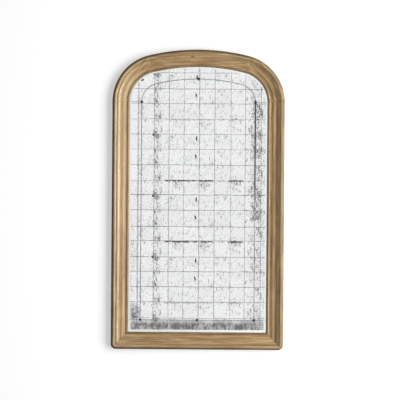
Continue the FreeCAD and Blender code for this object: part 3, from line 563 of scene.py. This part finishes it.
def leaf_squares(shader, place, rolled, ragged):
    """Tarnish along the overlaps of the leaf and where they cross, and the distance to the nearest row."""
    x, _, z = shader.axes(place)
    glass = settings("glass")
    wobble = shader.noise(place, 16.0, 2.0) - 0.5
    column_gap, column_strength = leaf_overlaps(shader, x + wobble * 0.006, LEAF_COLUMN, 3.0)
    row_gap, row_strength = leaf_overlaps(shader, z + wobble * 0.006, LEAF_ROW, 8.0)
    reach = glass.leaf_line / glass.leaf_pitch
    columns = shader.ramp(column_gap, reach * 0.20, reach, 1.0, 0.0) * column_strength
    rows = shader.ramp(row_gap, reach * 0.20, reach, 1.0, 0.0) * row_strength
    broken = shader.ramp(shader.noise(rolled, 34.0, 3.0), 0.30, 0.60, 0.60, 1.0)
    crossing = shader.distance(column_gap, row_gap) + (ragged - 0.5) * 0.04
    column = shader.compute("ROUND", x * (1.0 / glass.leaf_pitch))
    kept = shader.chance(shader.join(column, 2.0, 0.0)) > 0.35
    dots = shader.ramp(crossing, reach * 0.4, reach * 1.3, 1.0, 0.0) * kept
    return shader.most(columns, rows) * broken, dots, row_gap


def fleck(shader, x, z, place, reach, lean=0.0):
    """A small tarnished mark: its place, its half width and half height, and its lean."""
    across, up = x - place[0], z - place[1]
    turned_x = across * math.cos(lean) + up * math.sin(lean)
    turned_z = up * math.cos(lean) - across * math.sin(lean)
    away = shader.distance(turned_x * (1.0 / reach[0]), turned_z * (1.0 / reach[1]))
    return shader.ramp(away, 0.4, 1.0, 1.0, 0.0)


def heavy_rows(shader, place, drop, repeat, worst):
    """Heavy tarnish below every fourth row of leaf, frayed along its lower edge."""
    x, _, _ = shader.axes(place)
    frayed = drop + (shader.noise(place, 140.0, 3.0, 0.7) - 0.5) * 0.034
    line = shader.most(shader.ramp(frayed, 0.0045, 0.0085, 1.0, 0.0), shader.band(drop, repeat, 0.0030))
    stretches = shader.most(*(shader.span(x, *stretch) for stretch in HEAVY_STRETCHES))
    patchy = shader.ramp(shader.noise(place, 60.0, 3.0, 0.6), 0.34, 0.50, 0.45, 1.0)
    return line * stretches * (worst * 0.9 + 0.1) * patchy


def foxed_columns(shader, place, rolled, row_gap):
    """How thickly the specks lie in the left column, in the right one, and low down at the left edge."""
    x, _, z = shader.axes(place)
    ramp, noise = shader.ramp, shader.noise
    left = shader.span(x, *LEFT_COLUMN) * ramp(noise(rolled, 13.0, 2.0), 0.36, 0.62, 0.15, 0.75)
    left = left * ramp(row_gap, 0.12, 0.40, 1.25, 0.75)
    right = shader.span(x, *RIGHT_COLUMN) * ramp(noise(place, 14.0, 3.0), 0.40, 0.62, 0.40, 0.95)
    damp = fleck(shader, x, z, (0.342, 0.088), (0.046, 0.105))
    right = shader.most(right, damp * ramp(noise(place, 45.0, 3.0), 0.38, 0.60, 0.35, 1.0))
    right = right * ramp(z, -0.85, -0.45, 0.45, 1.0) * ramp(z, 0.15, 0.21, 1.0, 0.25)
    return left, right, shader.span(x, *LOW_LEFT) * ramp(z, -0.70, -0.20, 1.0, 0.0)


def single_marks(shader, x, z, drop, ragged):
    """The marks that come back with every repeat of the rows, and the lone one at the upper left."""
    marks = shader.most(*(fleck(shader, x, -drop, *shape) * strength for *shape, strength in MARKS))
    marks = marks * (z > LOW.z + settings("glass").border_inset + 0.04)
    marks = shader.most(marks, fleck(shader, x, z, (-0.3268, 0.2825), (0.0125, 0.0085), 0.5))
    return marks * shader.ramp(ragged, 0.30, 0.44)


def pin_places():
    """The places (x, z) of the six pins."""
    border = settings("glass").border_inset
    side, low = HIGH.x - border, LOW.z + border
    return ((-side, low), (0.0, low), (side, low), (-side, SPRING), (side, SPRING), (0.0, HIGH.z - border))


def joint_tarnish(shader, place, sides, bottom, ragged):
    """Tarnish along the joints of the panes, blackest at the upper right, and round each pin."""
    x, _, z = shader.axes(place)
    ramp, band, noise, most = shader.ramp, shader.band, shader.noise, shader.most
    border = settings("glass").border_inset
    at_side, above_joint = sides > border, bottom > border
    round_centre = most(band(sides, border, 0.0040) * above_joint, band(bottom, border, 0.0040))
    across_border = most(
        band(x, 0.0, 0.0032) * (1.0 - at_side * above_joint), band(z, SPRING, 0.0032) * (sides < border)
    )
    joints = most(round_centre, across_border * 0.8)
    joints = joints * ramp(noise(place, 26.0, 3.0), 0.30, 0.55, 0.70, 1.0) * ramp(x, -0.30, 0.10, 1.0, 0.85)
    blackened = band(sides, border, 0.0066) * (x > 0.15) * (z < 0.17) * ramp(z, -0.50, -0.25) * above_joint
    blackened = blackened * ramp(noise(place, 48.0, 4.0, 0.6), 0.30, 0.46, 0.55, 1.0)
    tarnish = band(sides, border, 0.018) * ramp(noise(place, 60.0, 4.0, 0.65), 0.56, 0.70) * (z > -0.95)
    tarnish = tarnish * ramp(x, -0.1, 0.3, 0.35, 1.0)
    away = [shader.distance(x - pin_x, z - pin_z) + (ragged - 0.5) * 0.006 for pin_x, pin_z in pin_places()]
    damp = [ramp(gap, 0.0065, 0.0105, 1.0, 0.0) for gap in away]
    return most(joints, tarnish * 0.75, blackened * 1.8, *damp)


def low_stains(shader, place):
    """The foxed band above the bottom rail, and the stain at the lower left corner."""
    x, _, z = shader.axes(place)
    ramp, noise = shader.ramp, shader.noise
    band = ramp(z, *LOW_BAND[:2]) * ramp(z, *LOW_BAND[2:], 1.0, 0.55)
    band = band * (z < LOW.z + settings("glass").border_inset)
    band = band * ramp(x, -0.415, -0.36, 0.15, 1.0) * ramp(x, 0.35, 0.41, 1.0, 0.55)
    streaky = noise(shader.moved(place, scale=(1.0, 1.0, 0.45)), 90.0, 4.0, 0.6)
    band = band * ramp(noise(place, 26.0, 3.0) * 0.4 + streaky * 0.6, 0.38, 0.58, 0.48, 0.90)
    corner = fleck(shader, x, z, (-0.368, -1.066), (0.052, 0.062))
    return shader.most(band, corner * ramp(noise(place, 55.0, 4.0, 0.65), 0.35, 0.60, 0.25, 0.90))


def make_silver():
    """Antiqued silver leaf: overlapping squares, foxing that repeats up the glass, tarnished joints."""
    shader, place, look = new_shader("antiqued_silver")
    glass, face_width = settings("glass"), settings("frame").face_width
    x, _, z = shader.axes(place)
    ramp, band, noise, most = shader.ramp, shader.band, shader.noise, shader.most

    # A turn round a circle for every few rows of leaf, so that the foxing repeats with the rows.
    repeat = ROWS_IN_REPEAT * glass.leaf_pitch
    around, radius = z * (TURN / repeat), repeat / TURN
    rolled = shader.join(x, shader.compute("COSINE", around) * radius, shader.compute("SINE", around) * radius)
    drop = shader.compute("WRAP", LEAF_ROW - z, repeat, 0.0)
    worst = band(z, -0.475, 0.42) * 0.75 + 0.25
    ragged = noise(place, 260.0, 3.0, 0.6)
    squares, dots, row_gap = leaf_squares(shader, place, rolled, ragged)

    stained = most(*(band(x, middle, width) for middle, width in STAINS))
    stained = stained * ramp(drop, 0.002, 0.082, 1.0, 0.0) * worst
    left, right, low_left = foxed_columns(shader, place, rolled, row_gap)
    mottle = ramp(noise(rolled, 17.0, 3.0), 0.45, 0.75)
    calm = ramp(x, *CALM_EDGE) * 0.60 + 0.40
    density = (most(stained, left, right) + mottle * 0.34) * calm
    density = shader.least(density + low_left * 0.4, 1.0)

    specks = ramp(noise(rolled, 150.0, 3.0, 0.6) + density * 0.13, 0.622, 0.690)
    blots = ramp(noise(rolled, 95.0, 4.0, 0.7) + density * 0.12, 0.630, 0.690)
    scratches = noise(shader.moved(rolled, scale=(1.0, 0.25, 0.25)), 170.0, 3.0, 0.6)
    scratches = ramp(scratches + density * 0.10, 0.610, 0.672) * 0.8
    spots = most(specks * 0.80, blots * 0.85, scratches) * most(ramp(x, *CALM_EDGE, 0.30, 1.0), low_left * 0.6)

    sides, bottom = inset_nodes(shader, x, z)
    foxing = most(
        spots,
        single_marks(shader, x, z, drop, ragged) * 1.5,
        squares * 0.98,
        dots * 0.85,
        band(x, -0.349, 0.0075) * ramp(ragged, 0.45, 0.56) * 0.85,
        heavy_rows(shader, place, drop, repeat, worst) * 1.5,
        joint_tarnish(shader, place, sides, bottom, ragged),
        low_stains(shader, place),
    )

    # The pale strip along the edge of the glass, ragged along its inner side and a little wider at the bottom: a
    # painted reflection of the frame's sight edge.
    strip = shader.least(sides, bottom) + (noise(place, 120.0, 3.0) - 0.5) * 0.006
    strip = ramp(strip - (z < -1.10) * 0.004, face_width + 0.0075, face_width + 0.0110, 1.0, 0.0)
    worn_strip = ramp(noise(place, 300.0, 3.0, 0.7), 0.62, 0.72) * 0.5
    foxing = shader.clamp((foxing * (1.0 - strip) + strip * worn_strip) * glass.foxing)

    column = shader.compute("FLOOR", (x - LEAF_COLUMN) * (1.0 / glass.leaf_pitch))
    row = shader.compute("FLOOR", (z - LEAF_ROW) * (1.0 / glass.leaf_pitch))
    haze = ramp(noise(place, 420.0, 3.0, 0.65), 0.45, 0.8, 0.0, 0.22)
    tone = shader.chance(shader.join(column, row, 1.0)) * 0.05 + density * 0.10 + mottle * 0.04 + haze
    leaf = shader.blend(shader.clamp(tone), look.silver, look.foxed)
    bluish = ramp(x, -0.352, -0.340, 0.40, 0.0) * ramp(z, -0.25, 0.15, 0.1, 1.0)
    leaf = shader.blend(bluish, leaf, (0.86, 0.88, 0.96))
    # The strip gets the painted reflection of the sight edge: cream at the left, silver at the right.
    leaf = shader.blend(strip * 0.9, leaf, shader.blend(ramp(x, -0.30, 0.38), look.edge, look.silver))
    rusty = shader.blend(band(x, -0.347, 0.012) * ramp(z, -0.35, 0.10), look.foxed, (0.24, 0.09, 0.07))
    return shader.surface(
        Base_Color=shader.blend(foxing, leaf, rusty),
        Metallic=shader.clamp(1.0 - foxing * 0.55 - strip * 0.1),
        Roughness=shader.clamp(0.06 + foxing * 0.40 + tone * 0.25 + strip * 0.15),
        Normal=shader.bump(noise(place, 24.0, 2.0) + squares * 0.3, 0.05, 0.0008),
        Coat_Weight=0.6 - foxing * 0.5,
        Coat_Roughness=0.02,
    )


def make_bronze():
    shader, place, look = new_shader("dark_bronze")
    rubbed = shader.ramp(shader.noise(place, 900.0, 4.0, 0.65), 0.54, 0.70)
    tint = shader.blend(rubbed * 0.30, look.bronze, (0.060, 0.045, 0.030))
    rough = 0.42 + shader.noise(place, 500.0, 3.0) * 0.25
    height = shader.noise(place, 1500.0, 3.0)
    return shader.surface(Base_Color=tint, Metallic=0.15, Roughness=rough, Normal=shader.bump(height, 0.25, 0.0002))


def make_zinc():
    """Bright zinc plate: spangle, fine drawing lines and a few dull patches."""
    shader, place, look = new_shader("zinc_plate")
    spangle = shader.node("TexVoronoi", {"Vector": place, "Scale": 420.0}, output="Distance")
    drawn = shader.noise(shader.moved(place, scale=(2600.0, 2600.0, 110.0)), 1.0, 3.0)
    dull = shader.ramp(shader.noise(place, 120.0, 4.0), 0.48, 0.70)
    tint = shader.blend(dull * 0.35 + spangle * 0.15 + 0.10, look.steel, (0.33, 0.335, 0.34))
    rough = shader.clamp(0.26 + drawn * 0.16 + dull * 0.22)
    height = drawn * 0.6 + spangle * 0.4
    return shader.surface(Base_Color=tint, Metallic=1.0, Roughness=rough, Normal=shader.bump(height, 0.18, 0.0002))


def make_plywood():
    """Birch plywood: a rotary-cut face with soft figure, and plies that show at the edge."""
    shader, place, look = new_shader("birch_plywood")
    _, y, _ = shader.axes(place)
    flame = shader.noise(shader.moved(place, scale=(9.0, 9.0, 1.1)), 1.0, 2.0)
    figure = shader.compute("SINE", flame * 60.0) * 0.5 + 0.5
    fibres = shader.noise(shader.moved(place, scale=(520.0, 520.0, 12.0)), 1.0, 3.0)
    stain = shader.ramp(shader.noise(place, 3.0, 3.0), 0.45, 0.75)
    plies = shader.ramp(shader.compute("SINE", y * (TURN / PLY)), -0.2, 0.4)
    dark = figure * 0.16 + shader.ramp(fibres, 0.5, 0.75) * 0.28 + stain * 0.15 + plies * 0.18
    tint = shader.blend(shader.clamp(dark), look.plywood, (0.34, 0.22, 0.12))
    height = fibres * 0.7 + figure * 0.3
    return shader.surface(Base_Color=tint, Roughness=0.62 + figure * 0.08, Normal=shader.bump(height, 0.3, 0.0004))


def make_beech():
    """Beech of the dowels and tenons: short rays and soft bands."""
    shader, place, _ = new_shader("beech")
    rays = shader.ramp(shader.noise(shader.moved(place, scale=(900.0, 900.0, 160.0)), 1.0, 2.0), 0.56, 0.68)
    bands = shader.noise(shader.moved(place, scale=(160.0, 160.0, 8.0)), 1.0, 3.0)
    tint = shader.blend(shader.clamp(rays * 0.5 + bands * 0.3), (0.58, 0.39, 0.24), (0.36, 0.21, 0.12))
    return shader.surface(Base_Color=tint, Roughness=0.55 + rays * 0.1, Normal=shader.bump(bands, 0.2, 0.0003))


def make_soft(name, tint, speck, scale, roughness, bump):
    """Rubber, foam, mastic or nylon: a fine skin with paler dust and its own grain size."""
    shader, place, _ = new_shader(name)
    skin = shader.noise(place, scale, 4.0, 0.6)
    dust = shader.ramp(shader.noise(place, scale * 0.12, 3.0), 0.50, 0.75)
    mixed = shader.blend(dust * 0.30 + skin * 0.12, tint, speck)
    rough = shader.clamp(roughness + skin * 0.12)
    return shader.surface(Base_Color=mixed, Roughness=rough, Normal=shader.bump(skin, bump, 0.0004))


# ---------------- the moulded frame

CORNER_STEPS, HAUNCH_STEPS, CROWN_STEPS = 12, 48, 32


def bow(first, last, centre_inset, steps=9):
    """The arc from first to last, both (inset, depth), about a centre at the given inset."""
    (x0, y0), (x1, y1) = first, last
    squares = (x1 - centre_inset) ** 2 - (x0 - centre_inset) ** 2 + y1**2 - y0**2
    centre_depth = squares / (2 * (y1 - y0))
    radius = math.hypot(x0 - centre_inset, y0 - centre_depth)
    start = math.atan2(y0 - centre_depth, x0 - centre_inset)
    turn = math.atan2(y1 - centre_depth, x1 - centre_inset) - start
    turn = (turn + math.pi) % TURN - math.pi
    angles = [start + turn * step / steps for step in range(1, steps)]
    points = [(centre_inset + radius * math.cos(a), centre_depth + radius * math.sin(a)) for a in angles]
    return points + [last]


def moulding_section():
    """The section of the moulding as (inset, depth), from the back of its outside edge round to the back."""
    s = settings("frame")
    upper_turn = (
        s.corner_radius + s.upper_turn * (s.upper_foot - s.corner_radius),
        s.bead_depth - s.upper_turn * (s.bead_depth - s.step_depth),
    )
    lower_turn = (
        s.lower_head + s.lower_turn * (s.groove - s.lower_head),
        s.step_depth - s.lower_turn * (s.step_depth - s.groove_depth),
    )
    points = [(0.0, 0.0), (0.0, s.depth - s.outer_round)]
    for last, centre_inset in (
        ((s.outer_round, s.depth), s.outer_round),
        ((s.bead_foot, s.bead_depth), s.outer_round),
        ((s.corner_radius, s.bead_depth), None),
        (upper_turn, s.corner_radius),
        ((s.upper_foot, s.step_depth), s.upper_foot),
        ((s.lower_head, s.step_depth), None),
        (lower_turn, s.lower_head),
        ((s.groove, s.groove_depth), s.groove),
        ((s.face_width, s.sight_depth), s.crest),
        ((s.face_width, s.rebate_depth), None),
        ((s.rebate_inset, s.rebate_depth), None),
        ((s.rebate_inset, 0.0), None),
        ((s.corner_radius, 0.0), None),
    ):
        points += bow(points[-1], last, centre_inset) if centre_inset else [last]
    return points


def section_face(edge):
    """A flat face in the shape of the moulding at z = 0, its outside edge at x = edge."""
    points = moulding_section()
    bpy.ops.mesh.primitive_circle_add(vertices=len(points), fill_type="NGON")
    thing = bpy.context.object
    for vertex, (inset, depth) in zip(thing.data.vertices, points):
        vertex.co = (edge - inset, -STAND_OFF - depth, 0.0)
    return thing


def bottom_corner(thing, end, way):
    """Mitre one end inside the bead, and carry the bead round half of the corner."""
    radius, bead_depth = settings("frame").corner_radius, settings("frame").bead_depth
    for vertex in thing.data.vertices:
        if abs(vertex.co.z - end) < TOUCH:
            vertex.co.z = end - way * max(0.0, -vertex.co.x - radius)
    with editing(thing):
        bpy.ops.mesh.select_mode(type="VERT")
        bpy.ops.mesh.select_all(action="DESELECT")
        mesh = bmesh.from_edit_mesh(thing.data)
        for vertex in mesh.verts:
            depth = -STAND_OFF - vertex.co.y
            at_edge = abs(vertex.co.x + radius) < TOUCH and abs(vertex.co.z - end) < TOUCH
            if at_edge and (abs(depth - bead_depth) < TOUCH or abs(depth) < TOUCH):
                vertex.select_set(True)
        bmesh.update_edit_mesh(thing.data)
        bpy.ops.mesh.vert_connect()
        bpy.ops.mesh.select_mode(type="FACE")
        bpy.ops.mesh.select_all(action="DESELECT")
        mesh = bmesh.from_edit_mesh(thing.data)
        for face in mesh.faces:
            if all(abs(v.co.z - end) < TOUCH and v.co.x > -radius - TOUCH for v in face.verts):
                face.select_set(True)
        bmesh.update_edit_mesh(thing.data)
        bpy.ops.mesh.spin(steps=CORNER_STEPS, angle=way * math.pi / 4, center=(-radius, 0.0, end), axis=(0, 1, 0))


def straight_length(run, ends):
    """A straight length of moulding, up from z = 0, with half a bottom corner at the ends given."""
    thing = section_face(0.0)
    with editing(thing):
        bpy.ops.mesh.extrude_region_move(TRANSFORM_OT_translate={"value": (0.0, 0.0, run)})
    for end, way in ends:
        bottom_corner(thing, end, way)
    return thing


def curved_length(radius, angle, steps):
    """A curved length of moulding that turns about the Y axis, from +X towards +Z."""
    thing = section_face(radius)
    with editing(thing):
        bpy.ops.mesh.spin(steps=steps, angle=angle, center=(0.0, 0.0, 0.0), axis=(0, 1, 0))
    return thing


def set_in_place(thing, matrix):
    """Put a length where it belongs, ease its edges and write the inset of each of its points."""
    thing.data.transform(matrix)
    close_mesh(thing)
    soften(thing, settings("frame").worn_edge)
    insets = thing.data.attributes.new("inset", "FLOAT", "POINT")
    for vertex, item in zip(thing.data.vertices, insets.data):
        item.value = inset_at(vertex.co.x, vertex.co.z)


def turned_about_y(degrees):
    return Matrix.Rotation(math.radians(degrees), 4, "Y")


class MIRROR_OT_frame(bpy.types.Operator):
    """Model the six lengths of the moulded oak frame"""

    bl_idname = "mirror.frame"
    bl_label = "Moulded frame"

    def execute(self, context):
        sizes = settings("frame")
        radius, offset = sizes.corner_radius, haunch_offset()
        haunch_turn = 90.0 - math.degrees(crown_half_angle())
        rise, run = SPRING - LOW.z - radius, 2 * (HIGH.x - radius)
        foot = Matrix.Translation((HIGH.x, 0.0, LOW.z + radius))
        mirrored = Matrix.Scale(-1.0, 4, (1, 0, 0))
        laid_down = Matrix.Translation((radius - HIGH.x, 0.0, LOW.z)) @ turned_about_y(90.0)
        on_left = Matrix.Translation((-offset, 0.0, SPRING)) @ turned_about_y(haunch_turn - 180.0)
        on_top = Matrix.Translation((0.0, 0.0, crown_centre())) @ turned_about_y(-haunch_turn)
        on_right = Matrix.Translation((offset, 0.0, SPRING))
        upright, lean = math.pi / 2, math.radians(90.0 - haunch_turn / 2)
        stile = (rise, ((0.0, -1),))
        haunch = (sizes.haunch_radius, math.radians(haunch_turn), HAUNCH_STEPS)
        crown = (sizes.crown_radius, 2 * crown_half_angle(), CROWN_STEPS)
        # Each length: its node, its moulding, where it goes, the lean of its grain and its place in the log.
        for node, thing, matrix, grain, shift in (
            ("right_stile", straight_length(*stile), foot, upright, 0.31),
            ("left_stile", straight_length(*stile), mirrored @ foot, upright, 1.77),
            ("bottom_rail", straight_length(run, ((0.0, -1), (run, 1))), laid_down, 0.0, 2.93),
            ("arch_left_haunch", curved_length(*haunch), on_left, lean, 4.11),
            ("arch_crown", curved_length(*crown), on_top, 0.0, 5.37),
            ("arch_right_haunch", curved_length(*haunch), on_right, math.pi - lean, 6.59),
        ):
            thing.name = thing.data.name = "oak_" + node.removeprefix("arch_")
            set_in_place(thing, matrix)
            knot = (KNOT[0] + shift, KNOT[1] + shift) if node == "arch_crown" else None
            material = make_oak(f"oak_{node}", grain, (shift, shift, shift), knot)
            finish_piece(thing, FIXED, material, node)
        return {"FINISHED"}


# ---------------- glass, pins and backing

PANES = ("centre", "arch_left", "arch_right", "side_left", "side_right", "bottom_left", "bottom_right")


class MIRROR_OT_glass(bpy.types.Operator):
    """Grind the edges of the seven panes and silver them"""

    bl_idname = "mirror.glass"
    bl_label = "Antiqued panes"

    def execute(self, context):
        silver, arris = make_silver(), settings("glass").arris
        for pane in PANES:
            dress(f"glass_{pane}", f"pane_{pane}", arris, silver)
        return {"FINISHED"}


class MIRROR_OT_pins(bpy.types.Operator):
    """Round the domed pins at the corners of the pane joints, and colour their washers"""

    bl_idname = "mirror.pins"
    bl_label = "Pins"

    def execute(self, context):
        nylon = settings("finishes").nylon
        dress("mirror_pins", "domed_pins", PLATE_EDGE, make_bronze())
        paint_node("pin_washers", make_soft("nylon", nylon, (0.55, 0.53, 0.45), 1400.0, 0.45, 0.15))
        return {"FINISHED"}


class MIRROR_OT_backing(bpy.types.Operator):
    """Finish the board, tape, pads and blocks behind the glass, and the dowels and tenons"""

    bl_idname = "mirror.backing"
    bl_label = "Backing and joints"

    def execute(self, context):
        look = settings("finishes")
        dress("carrier_board", "plywood_board", SOFT_EDGE, make_plywood())
        beech = make_beech()
        paint_node("arch_dowels", beech)
        paint_node("mitre_tenons", beech)
        paint_node("glazing_tape", make_soft("foam_tape", look.rubber, (0.12, 0.12, 0.12), 900.0, 0.80, 0.6))
        paint_node("setting_blocks", make_soft("block_rubber", look.rubber, (0.10, 0.10, 0.10), 500.0, 0.65, 0.3))
        paint_node("mastic_pads", make_soft("mastic", look.mastic, (0.42, 0.40, 0.35), 160.0, 0.60, 0.7))
        return {"FINISHED"}


class MIRROR_OT_fixings(bpy.types.Operator):
    """Ease the edges of the clips and of all the screws"""

    bl_idname = "mirror.fixings"
    bl_label = "Clips and screws"

    def execute(self, context):
        zinc = make_zinc()
        dress("retaining_clips", "offset_clips", PLATE_EDGE, zinc)
        for held in ("clip", "hanger", "bumper"):
            dress(f"{held}_screws", f"{held}_pan_screws", SCREW_EDGE, zinc)
        return {"FINISHED"}


class MIRROR_OT_hangers(bpy.types.Operator):
    """Ease the edges of the hanger straps and smooth the wire of the rings"""

    bl_idname = "mirror.hangers"
    bl_label = "Hangers"

    def execute(self, context):
        zinc = make_zinc()
        for side in ("left", "right"):
            dress(f"hanger_plate_{side}", f"hanger_strap_{side}", PLATE_EDGE, zinc)
            node, name = f"hanging_ring_{side}", f"wire_ring_{side}"
            dress(node, name, WIRE_EDGE, zinc, body=f"{side}_ring", angle=50.0)
        return {"FINISHED"}


class MIRROR_OT_bumpers(bpy.types.Operator):
    """Round the edges of the rubber bumpers"""

    bl_idname = "mirror.bumpers"
    bl_label = "Wall bumpers"

    def execute(self, context):
        tint = settings("finishes").rubber
        rubber = make_soft("bumper_rubber", tint, (0.11, 0.11, 0.11), 1100.0, 0.70, 0.35)
        for place in ("lower_left", "lower_right", "upper_left", "upper_right"):
            node, name = f"wall_bumper_{place}", f"rubber_foot_{place}"
            dress(node, name, SOFT_EDGE, rubber, angle=35.0)
        return {"FINISHED"}


# ---------------- wall, floor, light and camera

# Where the object lies in the photograph: the image is 400 pixels square.
IMAGE_PIXELS = 400
TOP_PIXEL, BOTTOM_PIXEL = 49.4, 349.8
MIDDLE_PIXEL = 197.9
LEAN = math.radians(0.435)
LENS, SENSOR = 190.0, 36.0

WHITE = (1.0, 1.0, 1.0)
WALL_SIZE, FLOOR_SIZE = (7.0, 8.0), (20.0, 5.0)
WALL_GAP = 0.0004
WALL_GLOW, FLOOR_GLOW = 0.362, 0.42
LIGHT_DISTANCE = 5.5


def big_plane(name, size, middle, turn):
    bpy.ops.mesh.primitive_plane_add(size=1.0, location=middle, rotation=(turn, 0.0, 0.0))
    plane = bpy.context.object
    plane.name = name
    plane.scale = (*size, 1.0)
    bpy.ops.object.transform_apply(location=True, rotation=True, scale=True)
    return plane


def make_wall_paint():
    """A white wall that only shows from the front, so that the back of the mirror can be seen."""
    shader, place, _ = new_shader("wall_paint")
    paint = shader.principled(
        Base_Color=(0.70, 0.70, 0.70),
        Roughness=0.9,
        Normal=shader.bump(shader.noise(place, 60.0, 3.0), 0.02, 0.001),
        Specular_IOR_Level=0.0,
        Emission_Color=WHITE,
        Emission_Strength=WALL_GLOW,
    )
    clear = shader.node("BsdfTransparent")
    behind = shader.node("NewGeometry", output="Backfacing")
    shade = shader.node("MixShader", {0: behind, 1: paint, 2: clear})
    return shader.finish(shade)


def make_floor_paint():
    """A pale floor, bright enough not to darken the glass that shows it."""
    shader, place, _ = new_shader("floor_paint")
    clouds = shader.noise(place, 3.0, 3.0)
    tint = shader.blend(clouds * 0.4, (0.80, 0.79, 0.78), (0.72, 0.71, 0.70))
    return shader.surface(Base_Color=tint, Roughness=0.85, Emission_Color=WHITE, Emission_Strength=FLOOR_GLOW)


def make_room():
    """A pale room, brighter straight ahead of the glass, which is what the glass shows."""
    world = bpy.data.worlds.new("pale_room")
    bpy.context.scene.world = world
    shader = Shader(world)
    look = settings("stage")
    _, y, _ = shader.axes(shader.node("TexCoord", output="Generated"))
    fill = shader.ramp(-y, 0.92, 0.985, look.surround, look.ahead)
    shown = shader.ramp(-y, 0.70, 0.985, look.shown, look.ahead)
    lighting = shader.node("LightPath", output="Is Diffuse Ray")
    bright = shader.choose(lighting, fill, shown)
    background = shader.node("Background", {"Strength": bright, "Color": WHITE})
    shader.node("OutputWorld", {"Surface": background})


def soft_light(name, place, size, power, tint):
    """A rectangle of light turned to the middle of the mirror."""
    data = bpy.data.lights.new(name, "AREA")
    data.shape, (data.size, data.size_y) = "RECTANGLE", size
    data.energy, data.color = power, tint
    light = bpy.data.objects.new(name, data)
    light.location = place
    light.rotation_euler = (MIDDLE - place).to_track_quat("-Z", "Y").to_euler()
    bpy.context.scene.collection.objects.link(light)
    return light


def from_right(off_axis, rise):
    """A place to the right of the mirror, at an angle in degrees from square to the wall."""
    angle = math.radians(off_axis)
    return MIDDLE + Vector((LIGHT_DISTANCE * math.sin(angle), -LIGHT_DISTANCE * math.cos(angle), rise))


def lights_up(light, thing, state):
    """Let a light fall on one thing alone, or on everything else."""
    receivers = bpy.data.collections.new(f"{light.name}_receivers")
    receivers.objects.link(thing)
    receivers.collection_objects[0].light_linking.link_state = state
    light.light_linking.receiver_collection = receivers


class MIRROR_OT_stage(bpy.types.Operator):
    """Set up the wall, the floor, the soft light and the camera"""

    bl_idname = "mirror.stage"
    bl_label = "Wall, floor, light and camera"

    def execute(self, context):
        look = settings("stage")
        floor_z = LOW.z - look.floor_drop
        wall = big_plane("wall", WALL_SIZE, (0.0, WALL_GAP, floor_z + WALL_SIZE[1] / 2), math.pi / 2)
        wall.data.materials.append(make_wall_paint())
        wall.visible_shadow = wall.visible_diffuse = wall.visible_glossy = False
        floor = big_plane("floor", FLOOR_SIZE, (0.0, 0.0, floor_z), 0.0)
        floor.data.materials.append(make_floor_paint())
        floor.visible_shadow = floor.visible_diffuse = False
        make_room()

        key = soft_light("key_light", from_right(64.0, 0.45), (1.5, 3.6), look.key_power, (1.0, 0.985, 0.96))
        wash = soft_light("wall_wash", from_right(45.0, 0.0), (3.8, 7.0), look.wash_power, WHITE)
        lights_up(key, wall, "EXCLUDE")
        lights_up(wash, wall, "INCLUDE")
        back = soft_light("back_light", MIDDLE + Vector((1.6, 3.2, 1.4)), (3.0, 3.0), look.back_power, WHITE)
        back.visible_glossy = False

        scale = (HIGH.z - LOW.z) / (BOTTOM_PIXEL - TOP_PIXEL)
        half = IMAGE_PIXELS / 2
        target_x = (half - MIDDLE_PIXEL) * scale
        target_z = MIDDLE.z - (half - (TOP_PIXEL + BOTTOM_PIXEL) / 2) * scale
        camera_data = bpy.data.cameras.new("camera")
        camera_data.lens, camera_data.sensor_width = LENS, SENSOR
        camera = bpy.data.objects.new("camera", camera_data)
        camera.location = (target_x, LOW.y - LENS / SENSOR * IMAGE_PIXELS * scale, target_z)
        camera.rotation_euler = (math.pi / 2, -LEAN, 0.0)
        context.scene.collection.objects.link(camera)
        context.scene.camera = camera
        context.scene.view_settings.view_transform = "Standard"
        return {"FINISHED"}


# ---------------- the add-on

PIECES = (
    MIRROR_OT_frame,
    MIRROR_OT_glass,
    MIRROR_OT_pins,
    MIRROR_OT_backing,
    MIRROR_OT_fixings,
    MIRROR_OT_hangers,
    MIRROR_OT_bumpers,
    MIRROR_OT_stage,
)


class MIRROR_PT_pieces(bpy.types.Panel):
    """Sizes, colours and the buttons that build the mirror"""

    bl_idname = "MIRROR_PT_pieces"
    bl_label = "Arched Window Mirror"
    bl_space_type = "VIEW_3D"
    bl_region_type = "UI"
    bl_category = "Mirror"

    def draw(self, context):
        for name, group in SETTINGS.items():
            box = self.layout.box()
            for key in group.__annotations__:
                box.prop(getattr(context.scene, name), key)
        for piece in PIECES:
            self.layout.operator(piece.bl_idname)


CLASSES = (*SETTINGS.values(), *PIECES, MIRROR_PT_pieces)


def register():
    for item in CLASSES:
        bpy.utils.register_class(item)
    for name, group in SETTINGS.items():
        setattr(bpy.types.Scene, name, PointerProperty(type=group))


def unregister():
    for name in SETTINGS:
        delattr(bpy.types.Scene, name)
    for item in reversed(CLASSES):
        bpy.utils.unregister_class(item)


def main():
    register()
    bpy.ops.mirror.frame()
    bpy.ops.mirror.glass()
    bpy.ops.mirror.pins()
    bpy.ops.mirror.backing()
    bpy.ops.mirror.fixings()
    bpy.ops.mirror.hangers()
    bpy.ops.mirror.bumpers()
    bpy.ops.mirror.stage()


if __name__ == "__main__":
    main()
